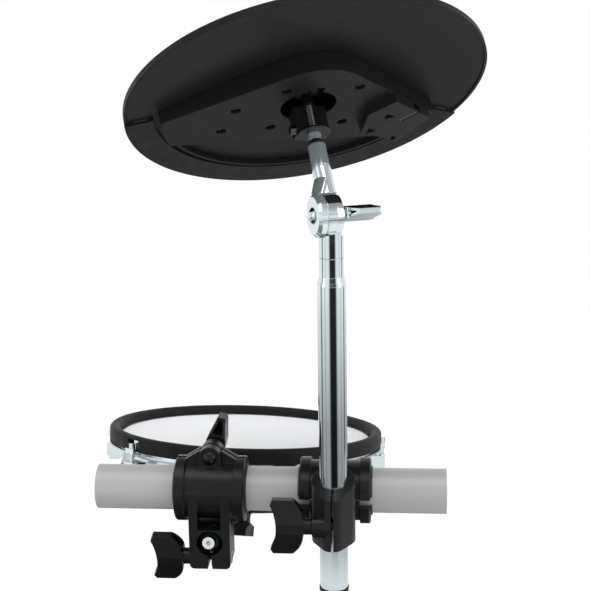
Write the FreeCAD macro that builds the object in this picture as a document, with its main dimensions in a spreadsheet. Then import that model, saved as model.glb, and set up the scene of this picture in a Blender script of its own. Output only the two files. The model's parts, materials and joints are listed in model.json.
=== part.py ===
"""A rack section of an electronic drum kit: bar, two pipe clamps, mesh-head tom pad and cymbal pad.

All lengths are in millimetres and all angles in degrees. The origin is the left end of the bar on its
axis, +X runs along the bar, +Y points to the player and +Z is up.
"""
import FreeCAD
import Part
import Sketcher
import math
import os

SIZES = {
    # Clearances
    "fit_gap": 0.3,
    "snug_gap": 0.05,
    "overrun": 2.0,
    # Rack bar and where the two clamps stand on it
    "bar_length": 300.0,
    "bar_diameter": 38.1,
    "bar_wall": 2.0,
    "tom_clamp_place": 99.0,
    "cymbal_clamp_place": 206.0,
    # Pipe clamp: split liner, two half shells, hinge and closing ears
    "liner_wall": 1.5,
    "liner_length": 63.0,
    "shell_wall": 4.4,
    "shell_width": 42.0,
    "flange_width": 9.0,
    "flange_rise": 2.5,
    "flange_chamfer": 1.0,
    "split_gap": 3.0,
    "flange_gap": 6.5,
    "knuckle_radius": 3.4,
    "knuckle_half": 9.0,
    "outer_knuckle": 7.0,
    "hinge_pin_diameter": 3.0,
    "ear_half": 9.8,
    "ear_thickness": 10.0,
    "bolt_place": 30.5,
    "bolt_diameter": 6.0,
    "bolt_head_diameter": 12.0,
    "bolt_head_height": 3.0,
    "gusset_thickness": 5.0,
    "carrier_drop": 41.0,
    # Block with the ball socket on the tom clamp
    "arm_inner": 10.0,
    "arm_depth": 11.0,
    "arm_top": 3.0,
    "block_half": 17.5,
    "block_depth": 29.0,
    "ball_inset": 13.0,
    "block_top": 29.0,
    "block_bottom": 64.0,
    "block_corner": 4.0,
    "block_slit": 2.5,
    "block_notch": 5.0,
    "block_notch_height": 4.0,
    "block_pinch_drop": 58.0,
    "block_knob_turn_angle": 16.0,
    "ball_radius": 12.0,
    "ball_mouth_radius": 11.2,
    "ball_flat": 10.8,
    "ball_slit": 1.2,
    "ball_slit_depth": 4.5,
    "tom_tilt_angle": 9.5,
    # Barrel on the cymbal clamp
    "barrel_radius": 18.0,
    "barrel_nose_radius": 9.0,
    "barrel_nose_reach": 17.5,
    "barrel_top": 30.0,
    "barrel_front_top": 15.5,
    "barrel_bottom": 27.5,
    "barrel_slit": 2.0,
    "barrel_pinch_drop": 8.8,
    "barrel_boss_reach": 16.5,
    # Moulded wing knobs and their screws
    "knob_span": 46.0,
    "knob_length": 27.0,
    "knob_hub_radius": 8.0,
    "knob_root_width": 17.0,
    "knob_tip_width": 7.0,
    "knob_sweep": 9.0,
    "knob_sweep_radius": 22.0,
    "knob_corner": 4.0,
    "knob_waist": 5.0,
    "knob_wall": 2.0,
    "knob_bore_depth": 20.0,
    "collar_radius": 7.0,
    "nut_collar": 9.0,
    "nut_collar_radius": 5.4,
    "block_collar": 7.0,
    "barrel_collar": 7.0,
    "bracket_collar": 2.0,
    "bracket_knob_length": 18.0,
    "clamp_nut_turn_angle": 104.0,
    "pinch_screw_diameter": 6.0,
    "pinch_nut_width": 10.0,
    "pinch_nut_height": 5.0,
    # Tom rod and bracket
    "rod_diameter": 10.4,
    "rod_front": 19.0,
    "rod_end_gap": 1.0,
    "rod_socket_diameter": 4.0,
    "rod_socket_depth": 8.0,
    "bracket_half": 9.0,
    "bracket_length": 30.0,
    "bracket_foot": 12.0,
    "bracket_wall": 3.0,
    "bracket_pinch_inset": 6.0,
    "bracket_knob_turn_angle": 60.0,
    "bracket_plate_length": 34.0,
    "bracket_web_length": 22.0,
    "bracket_flange": 24.0,
    "bracket_flange_thickness": 3.0,
    "bracket_screw_diameter": 4.0,
    "bracket_screw_head": 7.0,
    "bracket_screw_head_height": 2.5,
    # Tom pad, measured from the plane of the hoop's top
    "tom_side": 4.0,
    "tom_standoff": 75.5,
    "tom_rise": 66.0,
    "tom_roll_angle": 2.0,
    "tom_depth": 62.0,
    "shell_depth": 42.5,
    "shell_radius": 124.5,
    "tom_shell_wall": 3.5,
    "head_drop": 9.0,
    "head_thickness": 0.8,
    "flesh_ring_width": 4.0,
    "flesh_ring_height": 3.5,
    "hoop_inner_gap": 1.9,
    "hoop_inner_leg": 4.0,
    "hoop_outer_leg": 3.5,
    "hoop_round": 4.0,
    "hoop_cover_height": 14.0,
    "hoop_cover_top": 3.0,
    "hoop_cover_lip": 9.0,
    "hoop_band_wall": 2.0,
    "hoop_flange_drop": 16.0,
    "hoop_flange_thickness": 1.5,
    "lug_count": 8.0,
    "lug_turn_angle": -89.6,
    "lug_width": 15.0,
    "lug_top": 24.0,
    "lug_bottom": 40.0,
    "lug_edge": 4.2,
    "lug_shoulder": 5.0,
    "screw_diameter": 5.0,
    "screw_head_diameter": 7.0,
    "screw_head_height": 5.0,
    "screw_length": 30.0,
    "claw_width": 13.0,
    "claw_height": 5.0,
    "claw_edge": 3.7,
    "notch_width": 17.0,
    "cover_thickness": 3.5,
    "cover_overlap": 1.5,
    "cover_bevel": 4.0,
    "cover_ring_height": 6.0,
    "cover_ring_wall": 2.5,
    "cover_screw_count": 6.0,
    "cover_screw_inset": 16.0,
    "bridge_width": 22.0,
    "bridge_thickness": 3.0,
    "bridge_height": 22.0,
    "bridge_foot": 10.0,
    "tom_piezo_radius": 13.5,
    "tom_piezo_thickness": 0.7,
    "cone_foot_radius": 15.0,
    "cone_tip_radius": 6.0,
    "tom_jack_inset": 58.0,
    # Jack sockets, for quarter inch plugs
    "jack_bore_radius": 3.25,
    "jack_radius": 5.5,
    "jack_length": 18.0,
    "jack_bore_depth": 15.0,
    "jack_collar_radius": 7.5,
    "jack_collar_height": 2.5,
    # Cymbal tube
    "tube_diameter": 23.4,
    "tube_wall": 1.5,
    "tube_below": 69.0,
    "tube_swage": 189.0,
    "tube_neck": 7.0,
    "tube_top": 15.0,
    "tube_neck_diameter": 20.0,
    "cap_height": 4.0,
    "cap_lip": 0.6,
    "cap_plug": 10.0,
    # Tilter
    "tilter_turn_angle": 23.0,
    "tilter_tilt_angle": 32.5,
    "pivot_rise": 34.0,
    "tilter_spigot": 18.0,
    "tilter_ear_radius": 17.4,
    "tilter_ear_thickness": 6.7,
    "tilter_disc_radius": 17.0,
    "tilter_disc_left": 8.1,
    "tilter_disc_thickness": 8.0,
    "tilter_step_radius": 15.5,
    "tilter_bevel": 2.5,
    "tilter_step_thickness": 5.6,
    "tilter_brace_angle": 22.0,
    "tilter_bolt_diameter": 8.0,
    "tilter_head_diameter": 13.4,
    "tilter_head_height": 3.0,
    "stem_radius": 7.75,
    "stem_length": 41.0,
    "stem_upper_radius": 7.3,
    "stem_top": 61.5,
    "stem_groove": 0.8,
    "tilter_wing_span": 32.0,
    "tilter_wing_length": 28.0,
    "tilter_wing_hub": 6.0,
    "tilter_wing_root": 12.0,
    "tilter_wing_tip": 4.0,
    "tilter_collar": 4.0,
    "tilter_collar_radius": 6.0,
    "tilter_wing_turn_angle": 75.0,
    # Spindle and what is stacked on it
    "spindle_diameter": 6.2,
    "spindle_foot": 46.0,
    "spindle_top": 156.0,
    "seat_nut_radius": 5.4,
    "seat_nut_height": 3.0,
    "lock_nut_radius": 4.6,
    "lock_nut_height": 6.5,
    "stopper_half": 13.5,
    "stopper_front": 0.5,
    "stopper_back": 13.0,
    "stopper_height": 23.0,
    "stopper_plate_thickness": 1.5,
    "stopper_screw_radius": 3.5,
    "stopper_screw_length": 5.0,
    "stopper_screw_rise": 4.0,
    "sleeve_radius": 4.5,
    "sleeve_flange_radius": 11.0,
    "sleeve_flange_height": 2.0,
    "felt_radius": 12.0,
    "felt_height": 6.0,
    "felt_slope": 1.6,
    "top_nut_radius": 9.0,
    "top_nut_height": 12.0,
    "top_nut_flute": 2.5,
    "top_nut_flute_count": 6.0,
    # Cymbal pad, measured from the plane of its rim
    "cymbal_rise": 104.0,
    "edge_bead": 2.3,
    "core_radius": 146.0,
    "core_rim": 3.2,
    "core_middle_radius": 57.0,
    "core_middle_rise": 9.0,
    "core_hub_radius": 20.0,
    "core_hub_rise": 12.5,
    "core_hole_radius": 8.0,
    "bell_radius": 36.0,
    "bell_rise": 17.5,
    "bell_top_radius": 13.0,
    "bell_top": 27.0,
    "bow_radius": 520.0,
    "pad_thickness": 2.3,
    "pad_lip": 1.0,
    "strike_width": 21.5,
    "strike_thickness": 3.0,
    "strike_start_angle": 13.0,
    "strike_sweep_angle": 154.0,
    "sensor_width": 10.0,
    "sensor_inset": 6.0,
    "sensor_thickness": 0.6,
    # Trigger housing under the cymbal
    "housing_drop": 8.0,
    "housing_wall": 3.0,
    "housing_margin": 4.8,
    "housing_corner_along": 20.0,
    "housing_apex": 12.0,
    "housing_apex_radius": 45.0,
    "housing_back": 60.0,
    "housing_rim_drop": 2.0,
    "housing_hole_radius": 23.0,
    "housing_keyhole_half": 6.0,
    "housing_keyhole_reach": 29.0,
    "housing_boss_radius": 6.3,
    "housing_screw_radius": 2.8,
    "housing_screw_head": 2.0,
    "housing_recess_radius": 4.3,
    "housing_recess_depth": 4.5,
    "housing_screw_length": 9.0,
    "housing_thread_radius": 1.4,
    "jack_box_drop": 8.0,
    "hollow_side": 9.0,
    "hollow_depth": 5.0,
    "cymbal_piezo_radius": 13.5,
    "cymbal_piezo_thickness": 0.7,
}

# Screws of the trigger housing, as shares of its corner's distance from the centre line
HOUSING_SCREW_SHARES = (
    (-0.51, 0.03),
    (-0.55, 0.32),
    (-0.2, 0.29),
    (-0.21, -0.21),
    (0.3, -0.24),
    (0.32, 0.25),
)
# Corners of the jack box, as shares of the same distance
JACK_BOX_SHARES = ((0.44, 0.04), (0.59, -0.14), (0.94, 0.12), (0.8, 0.47), (0.47, 0.31))
# Hollows in the jack box's underside: two three-cornered ones and a round one
HOLLOW_SHARES = ((0.62, 0.08), (0.55, 0.29))
ROUND_HOLLOW_SHARES = (0.75, 0.42)
# Disc sensor and jack, as shares of the same distance
PIEZO_SHARES = (-0.356, 0.127)
JACK_SHARE = 0.805
# Unit normal of the housing's slanted side, and how its inner corner moves as the wall grows
SIDE_ACROSS_SHARE = 0.6
SIDE_ALONG_SHARE = 0.8
CORNER_ACROSS_SHARE = 1.07
CORNER_ALONG_SHARE = 0.53

Vector = FreeCAD.Vector
Rotation = FreeCAD.Rotation
Placement = FreeCAD.Placement

doc = FreeCAD.newDocument("drum_rack")
sheet = doc.addObject("Spreadsheet::Sheet", "Sizes")
for row, (alias, number) in enumerate(SIZES.items(), 1):
    sheet.set(f"A{row}", alias)
    sheet.set(f"B{row}", str(number))
    sheet.setAlias(f"B{row}", alias)
doc.recompute()
nodes = []


class Size:
    """A length or angle together with the formula that ties it to the sheet."""

    def __init__(self, formula, value):
        self.formula = formula
        self.value = value

    def __add__(self, other):
        other = as_size(other)
        return Size(f"({self.formula} + {other.formula})", self.value + other.value)

    def __sub__(self, other):
        other = as_size(other)
        return Size(f"({self.formula} - {other.formula})", self.value - other.value)

    def __mul__(self, other):
        other = as_size(other)
        return Size(f"({self.formula} * {other.formula})", self.value * other.value)

    def __truediv__(self, other):
        other = as_size(other)
        return Size(f"({self.formula} / {other.formula})", self.value / other.value)

    def __neg__(self):
        return Size(f"(0 - {self.formula})", -self.value)

    def root(self):
        return Size(f"sqrt({self.formula})", math.sqrt(self.value))


def as_size(item):
    return item if isinstance(item, Size) else Size(repr(item), float(item))


class Sheet:
    """Gives each cell of the sheet by its alias."""

    def __getattr__(self, alias):
        return Size(f"Sizes.{alias}", float(sheet.get(alias)))


s = Sheet()


def bind(item, prop, size):
    item.setExpression(prop, as_size(size).formula)


# Rotations that lay a piece made along Z along another axis
ALONG = {
    "Z": Rotation(),
    "X": Rotation(Vector(0, 1, 0), 90),
    "Y": Rotation(Vector(1, 0, 0), -90),
    "-X": Rotation(Vector(0, 1, 0), -90),
}
# Rotations that stand a flat outline in another plane
PLANES = {
    "XY": Rotation(),
    "XZ": Rotation(Vector(1, 0, 0), 90),
    "YZ": Rotation(Vector(1, 1, 1), 120),
}


def put(item, at, rotation):
    item.Placement = Placement(Vector(), rotation)
    for letter, size in zip("xyz", at):
        if as_size(size).formula != "0":
            bind(item, f"Placement.Base.{letter}", size)
    return item


def cylinder(radius, height, at=(0, 0, 0), axis="Z"):
    item = doc.addObject("Part::Cylinder", "Cylinder")
    bind(item, "Radius", radius)
    bind(item, "Height", height)
    return put(item, at, ALONG[axis])


def box(low, size):
    item = doc.addObject("Part::Box", "Box")
    for prop, length in zip(("Length", "Width", "Height"), size):
        bind(item, prop, length)
    return put(item, low, Rotation())


def sphere(radius, at=(0, 0, 0)):
    item = doc.addObject("Part::Sphere", "Sphere")
    bind(item, "Radius", radius)
    return put(item, at, Rotation())


def fuse(*items):
    item = doc.addObject("Part::MultiFuse", "Fuse")
    item.Shapes = list(items)
    item.Refine = True
    return item


def cut(base, *tools):
    item = doc.addObject("Part::Cut", "Cut")
    item.Base = base
    item.Tool = tools[0] if len(tools) == 1 else fuse(*tools)
    item.Refine = True
    return item


def common(base, tool):
    item = doc.addObject("Part::Common", "Common")
    item.Base = base
    item.Tool = tool
    item.Refine = True
    return item


def pin_point(sketch, edge, end, across, along):
    """Ties one end of an edge to the sheet by its two distances from the sketch's origin."""
    for kind, size, axis in (("DistanceX", across, -2), ("DistanceY", along, -1)):
        if size.formula == "0":
            sketch.addConstraint(Sketcher.Constraint("PointOnObject", edge, end, axis))
            continue
        index = sketch.addConstraint(Sketcher.Constraint(kind, -1, 1, edge, end, size.value))
        sketch.setExpression(f"Constraints[{index}]", size.formula)


def arc_edge(start, end, radius):
    """The short arc between two points, and whether it runs against the way round."""
    chord = end - start
    left = Vector(-chord.y, chord.x, 0).normalize()
    rise = math.sqrt(max(radius * radius - chord.Length ** 2 / 4, 0))
    center = (start + end) * 0.5 + left * math.copysign(rise, radius)
    first, last = (start, end) if radius > 0 else (end, start)
    angles = [math.atan2(spot.y - center.y, spot.x - center.x) for spot in (first, last)]
    return Part.ArcOfCircle(Part.Circle(center, Vector(0, 0, 1), abs(radius)), *angles)


def outline(sketch, points):
    """Draws a closed outline. A third value on a point is the radius of the arc to the next point,
    positive where the arc's centre lies to the left of the way round."""
    sizes = [tuple(as_size(item) for item in point) for point in points]
    spots = [Vector(point[0].value, point[1].value, 0) for point in sizes]
    count = len(spots)
    ends = []
    for index, point in enumerate(sizes):
        start, end = spots[index], spots[(index + 1) % count]
        if len(point) == 2:
            sketch.addGeometry(Part.LineSegment(start, end), False)
            ends.append((1, 2))
            continue
        radius = point[2]
        sketch.addGeometry(arc_edge(start, end, radius.value), False)
        ends.append((1, 2) if radius.value > 0 else (2, 1))
    for index, point in enumerate(sizes):
        following = (index + 1) % count
        joint = Sketcher.Constraint("Coincident", index, ends[index][1], following, ends[following][0])
        sketch.addConstraint(joint)
        pin_point(sketch, index, ends[index][0], point[0], point[1])
        if len(point) == 3:
            radius = point[2] if point[2].value > 0 else -point[2]
            place = sketch.addConstraint(Sketcher.Constraint("Radius", index, radius.value))
            sketch.setExpression(f"Constraints[{place}]", radius.formula)


def new_sketch(body, role):
    sketch = body.newObject("Sketcher::SketchObject", "Sketch")
    plane = next(item for item in body.Origin.OriginFeatures if item.Role == role)
    sketch.AttachmentSupport = [(plane, "")]
    sketch.MapMode = "FlatFace"
    return sketch


def prism(points, length, plane="XY", at=(0, 0, 0)):
    """A flat outline padded square to its plane: up from XY, towards -Y from XZ, towards +X from YZ."""
    body = doc.addObject("PartDesign::Body", "Body")
    sketch = new_sketch(body, "XY_Plane")
    outline(sketch, points)
    pad = body.newObject("PartDesign::Pad", "Pad")
    pad.Profile = sketch
    bind(pad, "Length", length)
    return put(body, at, PLANES[plane])


def turned(points, sweep=360):
    """A profile of radius and height turned about Z."""
    body = doc.addObject("PartDesign::Body", "Body")
    sketch = new_sketch(body, "XZ_Plane")
    outline(sketch, points)
    feature = body.newObject("PartDesign::Revolution", "Revolution")
    feature.Profile = sketch
    feature.ReferenceAxis = (sketch, ["V_Axis"])
    bind(feature, "Angle", sweep)
    return body


def ring_points(inner, outer, low, high):
    return [(inner, low), (outer, low), (outer, high), (inner, high)]


def hexagon_points(width):
    """A hexagon of the given width across its flats."""
    corner = width / 2 / math.cos(math.pi / 6)
    turns = [(index + 0.5) * math.pi / 3 for index in range(6)]
    spots = [(math.cos(angle), math.sin(angle)) for angle in turns]
    return [(corner * round(across, 9), corner * round(along, 9)) for across, along in spots]


def node(label, item, frame=Placement()):
    """Names a finished piece and sets it in its frame."""
    placed = any("Placement" in path for path, formula in item.ExpressionEngine)
    if placed or not item.Placement.isIdentity():
        holder = doc.addObject("Part::Compound", "Piece")
        holder.Links = [item]
        item = holder
    item.Label = label
    item.Placement = frame
    nodes.append(item)
    return item


def copies(label, item, places, frame):
    """A group of separate equal solids."""
    doc.recompute()
    shapes = []
    for place in places:
        shape = item.Shape.copy()
        shape.Placement = place.multiply(shape.Placement)
        shapes.append(shape)
    group = doc.addObject("Part::Feature", "Group")
    group.Label = label
    group.Shape = Part.makeCompound(shapes)
    group.Placement = frame
    nodes.append(group)
    return group


def shift(across=0, along=0, up=0):
    values = [as_size(item).value for item in (across, along, up)]
    return Placement(Vector(*values), Rotation())


def turn(axis, angle):
    return Placement(Vector(), Rotation(axis, as_size(angle).value))


X_AXIS = Vector(1, 0, 0)
Y_AXIS = Vector(0, 1, 0)
Z_AXIS = Vector(0, 0, 1)

# Radii that the clamp's pieces share
BAR_RADIUS = s.bar_diameter / 2
LINER_INNER = BAR_RADIUS + s.fit_gap
LINER_OUTER = LINER_INNER + s.liner_wall
SHELL_INNER = LINER_OUTER + s.fit_gap
SHELL_OUTER = SHELL_INNER + s.shell_wall
FLANGE_OUTER = SHELL_OUTER + s.flange_rise
SHELL_HALF = s.shell_width / 2
CLAMP_HALF = SHELL_HALF + s.flange_width
HINGE_PLACE = SHELL_INNER + s.knuckle_radius
SPLIT_HALF = s.split_gap / 2
EAR_FACE = SPLIT_HALF + s.ear_thickness
BOLT_RADIUS = s.bolt_diameter / 2
PINCH_RADIUS = s.pinch_screw_diameter / 2
BALL_BACK = SHELL_OUTER - s.ball_inset
NOSE_PLACE = s.carrier_drop + s.barrel_nose_reach
ROD_RADIUS = s.rod_diameter / 2
TUBE_RADIUS = s.tube_diameter / 2
NECK_RADIUS = s.tube_neck_diameter / 2
NECK_FOOT = s.tube_swage + s.tube_neck
TUBE_END = NECK_FOOT + s.tube_top
RECEIVER_GAP = s.cover_overlap + s.fit_gap

# Frames of the groups, each measured from the one that carries it
TOM_CLAMP = shift(s.tom_clamp_place)
CYMBAL_CLAMP = shift(s.cymbal_clamp_place).multiply(turn(X_AXIS, -90))
BALL = TOM_CLAMP.multiply(shift(0, -BALL_BACK, -s.carrier_drop)).multiply(turn(X_AXIS, -s.tom_tilt_angle))
TOM_ON_ROD = BALL.multiply(turn(Y_AXIS, s.tom_roll_angle))
TOM = TOM_ON_ROD.multiply(shift(s.tom_side, s.tom_standoff + s.shell_radius, s.tom_rise))
TUBE = shift(s.cymbal_clamp_place, -s.carrier_drop)
TILTER = TUBE.multiply(shift(0, 0, TUBE_END + s.pivot_rise)).multiply(turn(Z_AXIS, s.tilter_turn_angle))
ARM = TILTER.multiply(turn(X_AXIS, -s.tilter_tilt_angle))
CYMBAL = ARM.multiply(shift(0, 0, s.cymbal_rise))


def rack_bar():
    bore = BAR_RADIUS - s.bar_wall
    tube = turned(ring_points(bore, BAR_RADIUS, 0, s.bar_length))
    node("rack_bar", tube, Placement(Vector(), ALONG["X"]))


def wing_knob(span, length, hub, root, tip, collar, collar_radius):
    """A moulded wing knob along Z: a collar, then two swept wings that taper to their tips."""
    half = span / 2
    brow = half - s.knob_corner
    waist_radius = (brow * brow + s.knob_waist * s.knob_waist) / (s.knob_waist * 2)
    side = prism(
        [
            (-hub, 0),
            (hub, 0, s.knob_sweep_radius),
            (half, s.knob_sweep),
            (half, length - s.knob_corner / 2),
            (brow, length, -waist_radius),
            (-brow, length),
            (-half, length - s.knob_corner / 2),
            (-half, s.knob_sweep, s.knob_sweep_radius),
        ],
        root,
        "XZ",
        (0, root / 2, 0),
    )
    shoulder = hub / 2
    plan = prism(
        [
            (half, -tip / 2),
            (half, tip / 2),
            (shoulder, root / 2),
            (-shoulder, root / 2),
            (-half, tip / 2),
            (-half, -tip / 2),
            (-shoulder, -root / 2),
            (shoulder, -root / 2),
        ],
        length,
    )
    recess_length = length - s.knob_waist - s.knob_wall
    recess_tip = tip / 2 - s.knob_wall * 3 / 4
    recess_root = root / 2 - s.knob_wall * 2
    recesses = []
    for sign in (1, -1):
        inner = as_size(sign) * (hub + s.knob_wall)
        outer = as_size(sign) * (half - s.knob_wall)
        corners = [(inner, -recess_root), (outer, -recess_tip), (outer, recess_tip), (inner, recess_root)]
        recesses.append(prism(corners if sign > 0 else corners[::-1], recess_length))
    wings = cut(common(side, plan), *recesses)
    body = cylinder(hub, length - s.knob_waist)
    wings.Placement = shift(0, 0, collar)
    body.Placement = shift(0, 0, collar)
    return fuse(wings, body, cylinder(collar_radius, collar + s.overrun))


def moulded_knob(length, collar, collar_radius):
    return wing_knob(
        s.knob_span,
        length,
        s.knob_hub_radius,
        s.knob_root_width,
        s.knob_tip_width,
        collar,
        collar_radius,
    )


def wing_screw(label, length, collar, shank, frame):
    """A wing knob with its screw, which points down from the collar's face."""
    screw = cylinder(PINCH_RADIUS, shank + s.overrun, (0, 0, -shank))
    node(label, fuse(moulded_knob(length, collar, s.collar_radius), screw), frame)


def clamp_ring():
    """Both shells in one ring, with a flange at each end whose rim is chamfered."""
    rim = FLANGE_OUTER - s.flange_chamfer
    core = SHELL_INNER - s.overrun
    ring = turned(
        [
            (core, -CLAMP_HALF),
            (rim, -CLAMP_HALF),
            (FLANGE_OUTER, -CLAMP_HALF + s.flange_chamfer),
            (FLANGE_OUTER, -SHELL_HALF),
            (SHELL_OUTER, -SHELL_HALF),
            (SHELL_OUTER, SHELL_HALF),
            (FLANGE_OUTER, SHELL_HALF),
            (FLANGE_OUTER, CLAMP_HALF - s.flange_chamfer),
            (rim, CLAMP_HALF),
            (core, CLAMP_HALF),
        ]
    )
    return put(ring, (0, 0, 0), ALONG["X"])


def clamp_bore():
    length = CLAMP_HALF * 2 + s.overrun * 2
    return cylinder(SHELL_INNER, length, (-CLAMP_HALF - s.overrun, 0, 0), "X")


def ear(face):
    """A closing ear with a rounded end. It runs from face towards -Y."""
    points = [
        (-s.ear_half, SHELL_INNER),
        (s.ear_half, SHELL_INNER),
        (s.ear_half, s.bolt_place, s.ear_half),
        (0, s.bolt_place + s.ear_half, s.ear_half),
        (-s.ear_half, s.bolt_place),
    ]
    return prism(points, s.ear_thickness, "XZ", (0, face, 0))


def gusset(face):
    reach = SHELL_HALF + s.flange_width / 2
    points = [
        (-reach, SHELL_INNER),
        (reach, SHELL_INNER),
        (reach, SHELL_OUTER),
        (s.ear_half, s.bolt_place + s.ear_half / 2),
        (-s.ear_half, s.bolt_place + s.ear_half / 2),
        (-reach, SHELL_OUTER),
    ]
    return prism(points, s.gusset_thickness, "XZ", (0, face, 0))


def bolt_hole():
    length = EAR_FACE * 2 + s.overrun * 2
    return cylinder(BOLT_RADIUS + s.snug_gap, length, (0, -EAR_FACE - s.overrun, s.bolt_place), "Y")


def knuckle(radius, low, high):
    return cylinder(radius, high - low, (low, 0, -HINGE_PLACE), "X")


KNUCKLE_START = s.knuckle_half + s.fit_gap
KNUCKLE_END = KNUCKLE_START + s.outer_knuckle


def hinge_pin_hole():
    reach = KNUCKLE_END + s.overrun
    return knuckle(s.hinge_pin_diameter / 2 + s.snug_gap, -reach, reach)


def clamp_body(label, carrier, carrier_cuts, frame):
    """The half shell that carries the tom's ball or the cymbal's tube."""
    half = box(
        (-CLAMP_HALF, -FLANGE_OUTER, -FLANGE_OUTER),
        (CLAMP_HALF * 2, FLANGE_OUTER - SPLIT_HALF, FLANGE_OUTER * 2),
    )
    solid = fuse(
        common(clamp_ring(), half),
        ear(-SPLIT_HALF),
        gusset(-SPLIT_HALF),
        knuckle(s.knuckle_radius, -KNUCKLE_END, -KNUCKLE_START),
        knuckle(s.knuckle_radius, KNUCKLE_START, KNUCKLE_END),
        *carrier,
    )
    pocket = knuckle(s.knuckle_radius + s.fit_gap, -KNUCKLE_START, KNUCKLE_START)
    node(label, cut(solid, clamp_bore(), pocket, hinge_pin_hole(), bolt_hole(), *carrier_cuts), frame)


def clamp_jaw(label, frame):
    """The half shell that closes the clamp."""
    half = box(
        (-CLAMP_HALF, SPLIT_HALF, -FLANGE_OUTER),
        (CLAMP_HALF * 2, FLANGE_OUTER - SPLIT_HALF, FLANGE_OUTER * 2),
    )
    solid = fuse(
        common(clamp_ring(), half),
        ear(EAR_FACE),
        gusset(SPLIT_HALF + s.gusset_thickness),
        knuckle(s.knuckle_radius, -s.knuckle_half, s.knuckle_half),
    )
    cuts = [clamp_bore(), hinge_pin_hole(), bolt_hole()]
    for low in (-CLAMP_HALF, SHELL_HALF):
        cuts.append(box((low, 0, -FLANGE_OUTER), (s.flange_width, s.flange_gap, FLANGE_OUTER)))
    outer_end = KNUCKLE_END + s.fit_gap
    for low, high in ((-outer_end, -s.knuckle_half), (s.knuckle_half, outer_end)):
        cuts.append(knuckle(s.knuckle_radius + s.fit_gap, low, high))
    node(label, cut(solid, *cuts), frame)


def clamp_liner(label, frame):
    length = s.liner_length
    start = -length / 2
    slit_low = -LINER_OUTER - s.overrun
    sleeve = cylinder(LINER_OUTER, length, (start, 0, 0), "X")
    bore = cylinder(LINER_INNER, length + s.overrun * 2, (start - s.overrun, 0, 0), "X")
    slit = box(
        (start - s.overrun, -SPLIT_HALF, slit_low),
        (length + s.overrun * 2, s.flange_gap + SPLIT_HALF, -slit_low),
    )
    node(label, cut(sleeve, bore, slit), frame)


def bolt_points(radius, head_radius, head_height, length):
    """A dome-headed bolt along Z with the underside of its head at zero."""
    dome = (head_radius * head_radius + head_height * head_height) / (head_height * 2)
    return [(0, -head_height, dome), (head_radius, 0), (radius, 0), (radius, length), (0, length)]


def clamp_fasteners(prefix, frame):
    pin = cylinder(s.hinge_pin_diameter / 2, KNUCKLE_END * 2, (-KNUCKLE_END, 0, -HINGE_PLACE), "X")
    node(prefix + "_hinge_pin", pin, frame)
    length = EAR_FACE * 2 + s.knob_bore_depth
    along = Placement(Vector(), ALONG["Y"])
    bolt = turned(bolt_points(BOLT_RADIUS, s.bolt_head_diameter / 2, s.bolt_head_height, length))
    node(prefix + "_bolt", bolt, frame.multiply(shift(0, -EAR_FACE, s.bolt_place)).multiply(along))
    knob = moulded_knob(s.knob_length, s.nut_collar, s.nut_collar_radius)
    depth = s.knob_bore_depth + s.overrun
    bore = cylinder(BOLT_RADIUS + s.fit_gap, depth, (0, 0, -s.overrun / 2))
    seat = frame.multiply(shift(0, EAR_FACE + s.fit_gap, s.bolt_place)).multiply(along)
    node(prefix + "_wing_nut", cut(knob, bore), seat.multiply(turn(Z_AXIS, s.clamp_nut_turn_angle)))


def pinch_nut(label, place, frame):
    """The hexagon nut trapped at the far end of a pinch screw."""
    blank = prism(hexagon_points(s.pinch_nut_width), s.pinch_nut_height)
    hole = cylinder(PINCH_RADIUS + s.fit_gap, s.pinch_nut_height + s.overrun * 2, (0, 0, -s.overrun))
    node(label, cut(blank, hole), frame.multiply(place).multiply(Placement(Vector(), ALONG["X"])))


def nut_pocket(place):
    width = s.pinch_nut_width + s.snug_gap * 2
    pocket = prism(hexagon_points(width), s.pinch_nut_height + s.overrun)
    pocket.Placement = place.multiply(Placement(Vector(), ALONG["X"]))
    return pocket


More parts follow.
